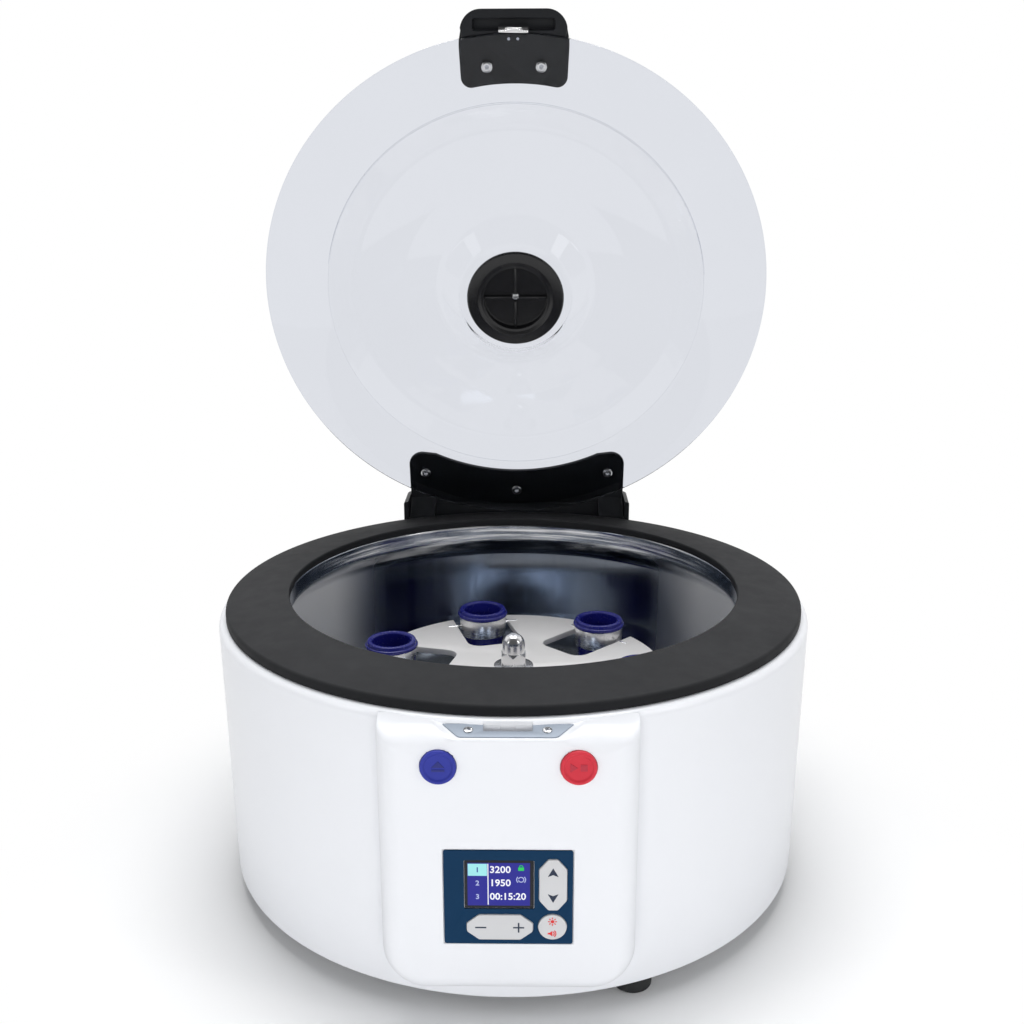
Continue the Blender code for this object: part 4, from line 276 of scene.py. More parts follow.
def inset(outline, distance):
    """The outline moved inwards along the bisector of its two sides at each point."""
    ahead = np.roll(outline, -1, 0) - outline
    behind = outline - np.roll(outline, 1, 0)
    normal_a = np.stack([-ahead[:, 1], ahead[:, 0]], -1) / np.maximum(np.linalg.norm(ahead, axis=1), 1e-9)[
        :, None,
    ]
    normal_b = np.stack([-behind[:, 1], behind[:, 0]], -1) / np.maximum(np.linalg.norm(behind, axis=1), 1e-9)[
        :, None,
    ]
    turning = np.cross(behind, ahead).sum()
    bisector = normal_a + normal_b
    bisector /= np.maximum((bisector * bisector).sum(1) / 2, 0.2)[:, None]
    return outline + bisector * distance * (1 if turning > 0 else -1)


def turned(name, profile, steps=FINE, closed=False, place=STILL):
    """A profile of (radius, height) turned about Z: x = r cos a, y = r sin a, z = h."""
    profile = np.asarray(profile, float)
    angle = np.linspace(0, 2 * math.pi, steps, endpoint=False)[:, None]
    radius, height = profile[:, 0][None], profile[:, 1][None]
    grid = np.stack([radius * np.cos(angle), radius * np.sin(angle), height + 0 * angle], -1)
    return grid_mesh(name, grid.transpose(1, 0, 2), around=True, along=closed, place=place)


def layered(name, outline, levels, place=STILL):
    """A solid of one outline repeated up its levels, each (height, inset), with its two ends closed."""
    rings = [np.column_stack([inset(outline, pull), np.full(len(outline), height)])
        for height, pull in levels]
    return grid_mesh(name, np.array(rings), around=True, place=place, caps=True)


def slab(name, outline, low, high, edge=0.0004, place=STILL, steps=3):
    """A plate of one outline from low to high, with its rims rounded by quarter circles."""
    turn = np.linspace(0, math.pi / 2, steps + 1)
    pull, rise = edge * (1 - np.sin(turn)), edge * (1 - np.cos(turn))
    heights = np.concatenate([low + rise, high - rise[::-1]])
    return layered(name, outline, list(zip(heights, np.concatenate([pull, pull[::-1]]))), place)


def holed_plate(name, outlines, low, high, edge=0.0004, place=STILL):
    """A plate with holes: a filled flat curve, extruded, with its rims rounded."""
    curve = bpy.data.curves.new(name, "CURVE")
    curve.dimensions = "2D"
    curve.fill_mode = "BOTH"
    curve.extrude = (high - low) / 2 - edge
    curve.bevel_depth = edge
    curve.bevel_resolution = 2
    curve.offset = -edge
    for outline in outlines:
        spline = curve.splines.new("POLY")
        spline.points.add(len(outline) - 1)
        spline.points.foreach_set(
            "co", np.column_stack([outline, np.zeros(len(outline)), np.ones(len(outline))]).ravel(),
        )
        spline.use_cyclic_u = True
    guide = bpy.data.objects.new(name, curve)
    bpy.context.scene.collection.objects.link(guide)
    mesh = bpy.data.meshes.new_from_object(guide.evaluated_get(bpy.context.evaluated_depsgraph_get()))
    bpy.data.objects.remove(guide)
    bm = bmesh.new()
    bm.from_mesh(mesh)
    bmesh.ops.remove_doubles(bm, verts=bm.verts, dist=1e-6)
    bmesh.ops.transform(bm, matrix=place @ Matrix.Translation((0, 0, (low + high) / 2)), verts=bm.verts)
    bmesh.ops.recalc_face_normals(bm, faces=bm.faces)
    bm.to_mesh(mesh)
    bm.free()
    return mesh


def box_mesh(name, low, high, edge=0.0, place=STILL):
    """A box with rounded rims at its two ends."""
    outline = rectangle(low[0], high[0], low[1], high[1], max(edge, 1e-6), 4)
    return slab(name, outline, low[2], high[2], max(edge, 1e-6), place)


# Node groups that several finishes share


def new_group(name, inputs, outputs):
    """An empty shader group with its named inputs and outputs."""
    group = bpy.data.node_groups.new(name, "ShaderNodeTree")
    for label, kind, value in inputs:
        socket = group.interface.new_socket(label, in_out="INPUT", socket_type=kind)
        socket.default_value = value
    for label, kind in outputs:
        group.interface.new_socket(label, in_out="OUTPUT", socket_type=kind)
    return group, group.nodes.new("NodeGroupInput"), group.nodes.new("NodeGroupOutput")


def noise_node(tree, scale, detail=3.0, roughness=0.5):
    """A noise texture with its plain settings."""
    node = tree.nodes.new("ShaderNodeTexNoise")
    node.inputs["Scale"].default_value = scale
    node.inputs["Detail"].default_value = detail
    node.inputs["Roughness"].default_value = roughness
    return node


def math_node(tree, operation, first=None, second=None, third=None):
    """A Math node; numbers are set on it and sockets are linked to it."""
    node = tree.nodes.new("ShaderNodeMath")
    node.operation = operation
    for slot_index, value in enumerate((first, second, third)):
        if value is None:
            continue
        if isinstance(value, (int, float)):
            node.inputs[slot_index].default_value = value
        else:
            tree.links.new(value, node.inputs[slot_index])
    return node.outputs[0]


def mix_colour(tree, factor, first, second, blend="MIX"):
    """A colour mix whose factor and colours may each be a socket or a plain value."""
    node = tree.nodes.new("ShaderNodeMix")
    node.data_type = "RGBA"
    node.blend_type = blend
    for socket, value in ((node.inputs[0], factor), (node.inputs[6], first), (node.inputs[7], second)):
        if hasattr(value, "node"):
            tree.links.new(value, socket)
        else:
            socket.default_value = value
    return node.outputs[2]


def mottle_group():
    """Uneven tone: slow noise shifts the colour a little and a faster one shifts the gloss."""
    group, given, made = new_group(
        "uneven_tone",
        [
            ("Color", "NodeSocketColor", (1, 1, 1, 1)),
            ("Tone", "NodeSocketFloat", 0.05),
            ("Roughness", "NodeSocketFloat", 0.4),
            ("Spread", "NodeSocketFloat", 0.08),
            ("Scale", "NodeSocketFloat", 30.0),
        ],
        [("Color", "NodeSocketColor"), ("Roughness", "NodeSocketFloat")],
    )
    place = group.nodes.new("ShaderNodeTexCoord").outputs["Object"]
    slow, fast = noise_node(group, 30, 2), noise_node(group, 200, 4, 0.6)
    group.links.new(place, slow.inputs["Vector"])
    group.links.new(place, fast.inputs["Vector"])
    group.links.new(given.outputs["Scale"], slow.inputs["Scale"])
    group.links.new(math_node(group, "MULTIPLY", given.outputs["Scale"], 7.0), fast.inputs["Scale"])
    shift = math_node(group, "MULTIPLY_ADD", slow.outputs["Fac"], 2.0, -1.0)
    darker = math_node(
        group, "MULTIPLY_ADD", math_node(group, "MULTIPLY", shift, given.outputs["Tone"]), 1.0, 1.0,
    )
    toned = group.nodes.new("ShaderNodeVectorMath")
    toned.operation = "SCALE"
    group.links.new(given.outputs["Color"], toned.inputs[0])
    group.links.new(darker, toned.inputs["Scale"])
    group.links.new(toned.outputs[0], made.inputs["Color"])
    swing = math_node(group, "MULTIPLY_ADD", fast.outputs["Fac"], 2.0, -1.0)
    rough = math_node(group, "MULTIPLY_ADD", swing, given.outputs["Spread"], given.outputs["Roughness"])
    group.links.new(rough, made.inputs["Roughness"])
    return group


def wear_group():
    """Worn rims: where a rounded normal leaves the true one, times noise, the colour turns to the worn
    one.
    """
    group, given, made = new_group(
        "edge_wear",
        [
            ("Color", "NodeSocketColor", (1, 1, 1, 1)),
            ("Worn Color", "NodeSocketColor", (1, 1, 1, 1)),
            ("Amount", "NodeSocketFloat", 0.3),
        ],
        [("Color", "NodeSocketColor"), ("Mask", "NodeSocketFloat")],
    )
    soft = group.nodes.new("ShaderNodeBevel")
    soft.samples = 4
    soft.inputs["Radius"].default_value = 0.0012
    true = group.nodes.new("ShaderNodeNewGeometry")
    agree = group.nodes.new("ShaderNodeVectorMath")
    agree.operation = "DOT_PRODUCT"
    group.links.new(soft.outputs[0], agree.inputs[0])
    group.links.new(true.outputs["Normal"], agree.inputs[1])
    edge = math_node(group, "MULTIPLY", math_node(group, "SUBTRACT", 1.0, agree.outputs["Value"]), 6.0)
    place = group.nodes.new("ShaderNodeTexCoord").outputs["Object"]
    patchy = noise_node(group, 160, 4, 0.6)
    group.links.new(place, patchy.inputs["Vector"])
    mask = math_node(
        group, "MULTIPLY", math_node(group, "MULTIPLY", edge, patchy.outputs["Fac"]), given.outputs["Amount"],
    )
    clamped = math_node(group, "MINIMUM", mask, 1.0)
    group.links.new(clamped, made.inputs["Mask"])
    group.links.new(
        mix_colour(group, clamped, given.outputs["Color"], given.outputs["Worn Color"]), made.inputs["Color"],
    )
    return group


def grain_group():
    """Moulded grain: fine noise over a coarser one, as a height for a Bump node."""
    group, given, made = new_group(
        "grain",
        [("Scale", "NodeSocketFloat", 900.0), ("Coarse", "NodeSocketFloat", 0.3)],
        [("Height", "NodeSocketFloat")],
    )
    place = group.nodes.new("ShaderNodeTexCoord").outputs["Object"]
    fine, coarse = noise_node(group, 900, 2), noise_node(group, 60, 2)
    group.links.new(place, fine.inputs["Vector"])
    group.links.new(place, coarse.inputs["Vector"])
    group.links.new(given.outputs["Scale"], fine.inputs["Scale"])
    group.links.new(math_node(group, "MULTIPLY", given.outputs["Scale"], 0.08), coarse.inputs["Scale"])
    group.links.new(
        math_node(group, "MULTIPLY_ADD", coarse.outputs["Fac"], given.outputs["Coarse"], fine.outputs["Fac"]),
        made.inputs["Height"],
    )
    return group


def brushing_group():
    """Lathe or brush marks about the Z axis: noise stretched along the angle or along the height."""
    group, given, made = new_group(
        "brushing",
        [
            ("Around", "NodeSocketFloat", 2.0),
            ("Along", "NodeSocketFloat", 600.0),
            ("Radial", "NodeSocketFloat", 600.0),
            ("Centre", "NodeSocketVector", (0, 0, 0)),
        ],
        [("Height", "NodeSocketFloat"), ("Streak", "NodeSocketFloat")],
    )
    place = group.nodes.new("ShaderNodeTexCoord").outputs["Object"]
    from_centre = group.nodes.new("ShaderNodeVectorMath")
    from_centre.operation = "SUBTRACT"
    group.links.new(place, from_centre.inputs[0])
    group.links.new(given.outputs["Centre"], from_centre.inputs[1])
    split = group.nodes.new("ShaderNodeSeparateXYZ")
    group.links.new(from_centre.outputs[0], split.inputs[0])
    squares = math_node(group, "MULTIPLY", split.outputs["X"], split.outputs["X"])
    radius = math_node(
        group, "SQRT", math_node(group, "MULTIPLY_ADD", split.outputs["Y"], split.outputs["Y"], squares),
    )
    stretched = group.nodes.new("ShaderNodeCombineXYZ")
    for axis in ("X", "Y"):
        share = math_node(group, "DIVIDE", split.outputs[axis], radius)
        group.links.new(math_node(group, "MULTIPLY", share, given.outputs["Around"]), stretched.inputs[axis])
    climbed = math_node(group, "MULTIPLY", split.outputs["Z"], given.outputs["Along"])
    group.links.new(
        math_node(group, "MULTIPLY_ADD", radius, given.outputs["Radial"], climbed), stretched.inputs["Z"],
    )
    marks = noise_node(group, 1.0, 4, 0.6)
    group.links.new(stretched.outputs[0], marks.inputs["Vector"])
    group.links.new(marks.outputs["Fac"], made.inputs["Height"])
    group.links.new(math_node(group, "MULTIPLY_ADD", marks.outputs["Fac"], 2.0, -1.0), made.inputs["Streak"])
    return group


def dust_group():
    """Settled dust: on faces that look up, patchy noise turns the colour towards the dust's."""
    group, given, made = new_group(
        "settled_dust",
        [
            ("Color", "NodeSocketColor", (1, 1, 1, 1)),
            ("Dust Color", "NodeSocketColor", (0.5, 0.5, 0.5, 1)),
            ("Amount", "NodeSocketFloat", 0.1),
        ],
        [("Color", "NodeSocketColor")],
    )
    upward = group.nodes.new("ShaderNodeSeparateXYZ")
    group.links.new(group.nodes.new("ShaderNodeNewGeometry").outputs["Normal"], upward.inputs[0])
    facing = math_node(group, "MAXIMUM", upward.outputs["Z"], 0.0)
    place = group.nodes.new("ShaderNodeTexCoord").outputs["Object"]
    patchy = noise_node(group, 22, 6, 0.7)
    group.links.new(place, patchy.inputs["Vector"])
    spread = math_node(
        group, "MULTIPLY", math_node(group, "MULTIPLY", facing, patchy.outputs["Fac"]),
        given.outputs["Amount"],
    )
    group.links.new(
        mix_colour(group, spread, given.outputs["Color"], given.outputs["Dust Color"]), made.inputs["Color"],
    )
    return group


TONE = mottle_group()
WEAR = wear_group()
GRAIN = grain_group()
BRUSHING = brushing_group()
DUST = dust_group()


# Finishes


def use_group(tree, group, **values):
    """Place a group in a material with its own values; underscores stand for spaces in input names."""
    node = tree.nodes.new("ShaderNodeGroup")
    node.node_tree = group
    for label, value in values.items():
        socket = node.inputs[label.replace("_", " ")]
        if hasattr(value, "node"):
            tree.links.new(value, socket)
        else:
            socket.default_value = value
    return node


def bare_finish(name, slot):
    """A material with only its Principled shader."""
    finish = bpy.data.materials.new(name)
    finish.use_nodes = True
    finish["slot"] = slot
    return finish, finish.node_tree, finish.node_tree.nodes["Principled BSDF"]


def bumped(tree, shader, height, strength, distance):
    """A Bump node between a height and the shader's Normal."""
    bump = tree.nodes.new("ShaderNodeBump")
    bump.inputs["Strength"].default_value = strength
    bump.inputs["Distance"].default_value = distance
    tree.links.new(height, bump.inputs["Height"])
    tree.links.new(bump.outputs[0], shader.inputs["Normal"])


def finish_of(
    name, slot, colour, roughness, tone=0.04, spread=0.05, scale=30.0, metallic=0.0, grain=0.0,
    grain_scale=900.0, coarse=0.3, grain_depth=0.0001, worn=None, wear=0.0, dust=0.0, **shader_values
):
    """A finish from the shared groups: uneven tone, worn rims, dust and moulded grain."""
    finish, tree, shader = bare_finish(name, slot)
    body = use_group(
        tree, TONE, Color=(*colour, 1), Tone=tone, Roughness=roughness, Spread=spread, Scale=scale,
    )
    tint = body.outputs["Color"]
    if wear:
        tint = use_group(tree, WEAR, Color=tint, Worn_Color=(*worn, 1), Amount=wear).outputs["Color"]
    if dust:
        tint = use_group(tree, DUST, Color=tint, Dust_Color=(0.55, 0.55, 0.56, 1), Amount=dust).outputs[
            "Color"
        ]
    tree.links.new(tint, shader.inputs["Base Color"])
    tree.links.new(body.outputs["Roughness"], shader.inputs["Roughness"])
    shader.inputs["Metallic"].default_value = metallic
    for label, value in shader_values.items():
        shader.inputs[label.replace("_", " ")].default_value = value
    if grain:
        bumped(
            tree, shader, use_group(tree, GRAIN, Scale=grain_scale, Coarse=coarse).outputs["Height"], grain,
            grain_depth,
        )
    return finish


def brushed_finish(
    name, slot, colour, roughness, around, along, radial, strength, spread=0.08, centre=(0, 0, 0),
):
    """A metal with brush marks about an upright axis."""
    finish, tree, shader = bare_finish(name, slot)
    marks = use_group(tree, BRUSHING, Around=around, Along=along, Radial=radial, Centre=centre)
    body = use_group(tree, TONE, Color=(*colour, 1), Tone=0.04, Roughness=roughness, Spread=0.03, Scale=25.0)
    tree.links.new(body.outputs["Color"], shader.inputs["Base Color"])
    rough = math_node(tree, "MULTIPLY_ADD", marks.outputs["Streak"], spread, body.outputs["Roughness"])
    tree.links.new(rough, shader.inputs["Roughness"])
    shader.inputs["Metallic"].default_value = 1.0
    bumped(tree, shader, marks.outputs["Height"], strength, 0.0002)
    return finish


def ink(name, slot, colour, roughness=0.45):
    """Flat printing ink with a trace of unevenness."""
    return finish_of(name, slot, colour, roughness, tone=0.06, spread=0.03, scale=300)


def glowing(name, slot, colour, strength=1.0):
    """A lit part of the display: a black screen surface that gives off its colour."""
    finish, tree, shader = bare_finish(name, slot)
    body = use_group(tree, TONE, Color=(*colour, 1), Tone=0.05, Roughness=0.3, Spread=0.02, Scale=120.0)
    shader.inputs["Base Color"].default_value = (0.01, 0.01, 0.015, 1)
    tree.links.new(body.outputs["Color"], shader.inputs["Emission Color"])
    tree.links.new(body.outputs["Roughness"], shader.inputs["Roughness"])
    shader.inputs["Emission Strength"].default_value = strength
    shader.inputs["Specular IOR Level"].default_value = 0.2
    return finish


WHITE_PAINT = finish_of(
    "white_enamel", "white_paint", (0.82, 0.83, 0.86), 0.34, tone=0.012, spread=0.05, scale=18,
    grain=0.05, grain_scale=420, coarse=0.6, grain_depth=0.00006, Coat_Weight=0.25, Coat_Roughness=0.12,
)
RUBBER = finish_of(
    "ring_rubber", "gasket_rubber", (0.0125, 0.0130, 0.0145), 0.66, tone=0.30, spread=0.10, scale=10,
    grain=0.35, grain_scale=1500, coarse=0.5, grain_depth=0.0001, dust=0.030, Specular_IOR_Level=0.16,
)
FOOT_RUBBER = finish_of(
    "foot_rubber", "foot_rubber", (0.018, 0.019, 0.020), 0.7, tone=0.1, grain=0.3, grain_scale=1200, dust=0.06
)
BLACK_PLASTIC = finish_of(
    "black_moulding", "black_plastic", (0.013, 0.014, 0.016), 0.38, tone=0.12, spread=0.06, scale=25,
    grain=0.18, grain_scale=1600, grain_depth=0.00008, worn=(0.04, 0.04, 0.045), wear=0.4, dust=0.006,
    Specular_IOR_Level=0.15,
)
GLOSS_BLACK = finish_of(
    "black_port_plastic", "black_plastic", (0.006, 0.006, 0.007), 0.25, tone=0.1, spread=0.05, grain=0.06,
    grain_scale=1200, grain_depth=0.00005,
)
PLATE_METAL = finish_of(
    "rotor_plate_metal", "bright_aluminium", (0.84, 0.825, 0.81), 0.55, tone=0.03, spread=0.08, scale=45,
    metallic=0.35, grain=0.12, grain_scale=800, coarse=0.8, grain_depth=0.00005,
    worn=(0.95, 0.95, 0.95), wear=0.6,
)
SCREW_STEEL = finish_of(
    "screw_steel", "polished_steel", (0.55, 0.56, 0.58), 0.24, tone=0.06, spread=0.08, scale=140,
    metallic=1.0,
    worn=(0.9, 0.9, 0.9), wear=0.6,
)
NUT_STEEL = finish_of(
    "nut_steel", "polished_steel", (0.72, 0.72, 0.73), 0.20, tone=0.05, spread=0.06, scale=90, metallic=1.0,
    worn=(0.95, 0.95, 0.95), wear=0.6,
)
LOCK_STEEL = finish_of(
    "lock_plate_steel", "polished_steel", (0.27, 0.31, 0.37), 0.50, tone=0.06, spread=0.08, scale=90,
    metallic=0.25,
    grain=0.1, grain_scale=900, grain_depth=0.00004,
)
NAVY = finish_of(
    "keypad_navy", "navy_film", (0.0045, 0.033, 0.084), 0.45, tone=0.05, spread=0.05, scale=60,
    grain=0.08, grain_scale=1500, grain_depth=0.00003, Specular_IOR_Level=0.1,
)
CUP_BLUE = finish_of(
    "cup_blue", "blue_plastic", (0.012, 0.014, 0.190), 0.26, tone=0.08, spread=0.06, scale=70,
    grain=0.05, grain_scale=700, grain_depth=0.00004, worn=(0.05, 0.06, 0.35), wear=0.5,
)
BUTTON_BLUE = finish_of(
    "button_blue", "blue_button", (0.026, 0.036, 0.300), 0.42, tone=0.06, grain=0.1, grain_scale=1400,
    grain_depth=0.00004, worn=(0.09, 0.10, 0.48), wear=0.5, Specular_IOR_Level=0.3,
)
BUTTON_RED = finish_of(
    "button_red", "red_button", (0.600, 0.030, 0.050), 0.42, tone=0.06, grain=0.1, grain_scale=1400,
    grain_depth=0.00004, worn=(0.80, 0.12, 0.13), wear=0.5, Specular_IOR_Level=0.3,
)
KEY_GREY = finish_of(
    "key_grey", "grey_key", (0.60, 0.60, 0.61), 0.5, tone=0.03, grain=0.12, grain_scale=1400,
    grain_depth=0.00004
)
WINDOW_BLACK = finish_of(
    "window_black", "display_glass", (0.008, 0.009, 0.013), 0.14, tone=0.05, spread=0.03, scale=80,
    Specular_IOR_Level=0.3
)
DARK_INK = ink("dark_ink", "navy_film", (0.010, 0.020, 0.050))
RED_INK = ink("red_ink", "red_button", (0.70, 0.02, 0.02))
BUTTON_BLUE_INK = ink("button_blue_sign", "blue_button", (0.012, 0.018, 0.170))
BUTTON_RED_INK = ink("button_red_sign", "red_button", (0.430, 0.018, 0.040))
SCREEN_BLUE = glowing("screen_blue", "display_glass", (0.018, 0.018, 0.28))
SCREEN_CYAN = glowing("screen_cyan", "display_glass", (0.36, 0.82, 0.84))
SCREEN_WHITE = glowing("screen_white", "display_glass", (0.93, 0.94, 1.0))
SCREEN_GREEN = glowing("screen_green", "display_glass", (0.02, 0.62, 0.10))
SCREEN_GREY = glowing("screen_grey", "display_glass", (0.45, 0.50, 0.78))
ZINC = finish_of(
    "zinc_pan", "polished_steel", (0.52, 0.53, 0.55), 0.45, tone=0.12, spread=0.1, scale=60, metallic=0.9,
)
BOARD_GREEN = finish_of("board_green", "green_board", (0.015, 0.11, 0.04), 0.4, tone=0.2, scale=200)
COPPER = finish_of(
    "coil_copper", "copper_coil", (0.55, 0.24, 0.10), 0.4, metallic=0.8, grain=0.4, grain_scale=500,
)


LID_TINT = (0.73, 0.75, 0.80, 1)
LID_INDEX = 1.28


def clear_finish():
    """Clear moulded plastic with a faint cool tint, polished, with slow flow marks."""
    finish, tree, shader = bare_finish("clear_lid_plastic", "clear_plastic")
    body = use_group(
        tree, TONE, Color=LID_TINT, Tone=0.015, Roughness=0.02, Spread=0.012, Scale=9.0,
    )
    tree.links.new(body.outputs["Color"], shader.inputs["Base Color"])
    tree.links.new(body.outputs["Roughness"], shader.inputs["Roughness"])
    shader.inputs["Transmission Weight"].default_value = 1.0
    shader.inputs["IOR"].default_value = LID_INDEX
    return finish


CLEAR = clear_finish()


def polish_and_highlight_paint_group():
    """Uneven gloss of the spun bowl, by place, with painted highlights and painted reflections.

    The two flanks, left and right as seen from the front, get a painted highlight: near-white, satin steel
    with upright streaks; the neck above the shoulder at the back gets a painted reflection, banded by noise
    that is drawn out round the bowl, near-white and less metallic; the rest stays dark and bright-polished.
    """
    group, given, made = new_group(
        "bowl_polish_and_painted_highlights",
        [("Dark", "NodeSocketColor", (0.3, 0.3, 0.3, 1)), ("Pale", "NodeSocketColor", (0.8, 0.8, 0.8, 1))],
        [("Color", "NodeSocketColor"), ("Metallic", "NodeSocketFloat"), ("Roughness", "NodeSocketFloat")],
    )
    place = group.nodes.new("ShaderNodeTexCoord").outputs["Object"]
    split = group.nodes.new("ShaderNodeSeparateXYZ")
    group.links.new(place, split.inputs[0])

    def ramp(value, low, high):
        node = group.nodes.new("ShaderNodeMapRange")
        node.interpolation_type = "SMOOTHSTEP"
        node.inputs["From Min"].default_value, node.inputs["From Max"].default_value = low, high
        group.links.new(value, node.inputs["Value"])
        return node.outputs["Result"]

    squares = math_node(group, "MULTIPLY", split.outputs["X"], split.outputs["X"])
    radius = math_node(
        group, "SQRT", math_node(group, "MULTIPLY_ADD", split.outputs["Y"], split.outputs["Y"], squares),
    )
    across = math_node(group, "DIVIDE", math_node(group, "ABSOLUTE", split.outputs["X"]), radius)
    streaks = use_group(group, BRUSHING, Around=34.0, Along=2.0, Radial=2.0).outputs["Height"]
    # Painted highlight: the left and right flanks turn near-white, satin steel in upright streaks, between set
    # heights.
    flank_highlight = math_node(group, "MULTIPLY", ramp(across, 0.60, 0.86), ramp(split.outputs["Z"], 0.214, 0.196))
    flank_highlight = math_node(group, "MULTIPLY", flank_highlight, ramp(split.outputs["Z"], 0.070, 0.125))
    flank_highlight = math_node(group, "MULTIPLY", flank_highlight, ramp(streaks, -0.60, 0.30))
    # Painted reflection: near-white, less metallic banding round the neck above the shoulder, at the back
    # only.
    reflection_bands = ramp(
        use_group(group, BRUSHING, Around=1.5, Along=300.0, Radial=220.0).outputs["Height"], 0.42, 0.66,
    )
    neck = math_node(group, "MULTIPLY", reflection_bands, ramp(split.outputs["Z"], 0.1925, 0.1965))
    neck = math_node(group, "MULTIPLY", neck, ramp(split.outputs["Y"], 0.03, 0.12))
    # Painted highlights and painted reflections together set where the colour turns near-white.
    painted_highlights = math_node(group, "MAXIMUM", flank_highlight, neck)
    group.links.new(
        mix_colour(group, painted_highlights, given.outputs["Dark"], given.outputs["Pale"]), made.inputs["Color"],
    )
    group.links.new(math_node(group, "MULTIPLY_ADD", neck, -0.65, 1.0), made.inputs["Metallic"])
    rough = math_node(group, "MULTIPLY_ADD", streaks, 0.14, 0.07)
    group.links.new(math_node(group, "MULTIPLY_ADD", flank_highlight, 0.62, rough), made.inputs["Roughness"])
    return group


# The first colour is the steel's own; the second is the near-white colour of its painted highlights and
# painted reflections.
BOWL_DARK = (0.30, 0.335, 0.39, 1)
BOWL_PAINTED_HIGHLIGHTS = (0.97, 0.97, 0.97, 1)


def bowl_finish():
    """Polished steel with uneven gloss, painted highlights on its flanks, a painted reflection on its neck,
    and fine upright marks.
    """
    finish, tree, shader = bare_finish("bowl_steel", "polished_steel")
    polish_and_highlights = use_group(tree, polish_and_highlight_paint_group(), Dark=BOWL_DARK, Pale=BOWL_PAINTED_HIGHLIGHTS)
    for label, socket in (("Color", "Base Color"), ("Metallic", "Metallic"), ("Roughness", "Roughness")):
        tree.links.new(polish_and_highlights.outputs[label], shader.inputs[socket])
    marks = use_group(tree, BRUSHING, Around=150.0, Along=1.0, Radial=1.0)
    bumped(tree, shader, marks.outputs["Height"], 0.012, 0.0002)
    return finish


BOWL_STEEL_FINISH = bowl_finish()


# Housing


def housing_profile():
    """Outer wall, round shoulder and deck, closed along the inside of the wall."""
    outline = [
        (DECK_INNER_RADIUS, DECK_TOP),
        (BODY_TOP_RADIUS, DECK_TOP),
        (BODY_BOTTOM_RADIUS, BODY_BOTTOM),
        (BODY_BOTTOM_RADIUS - BODY_WALL, BODY_BOTTOM),
        (BODY_TOP_RADIUS - BODY_WALL, DECK_TOP - BODY_WALL),
        (DECK_INNER_RADIUS, DECK_TOP - BODY_WALL),
    ]
    return rounded(outline, [0, SHOULDER_RADIUS, 0.0015, 0, 0.003, 0], 10)


def spaced(stops, step):
    """Rising values that hold every stop and lie no further apart than step."""
    parts = []
    for start, end in zip(stops[:-1], stops[1:]):
        count = max(2, int(math.ceil((end - start) / step)) + 1)
        parts.append(np.linspace(start, end, count)[:-1])
    return np.concatenate([*parts, [stops[-1]]])


def smooth_step(low, high, values):
    """3t squared minus 2t cubed between low and high, and flat outside."""
    t = np.clip((values - low) / (high - low), 0, 1)
    return t * t * (3 - 2 * t)


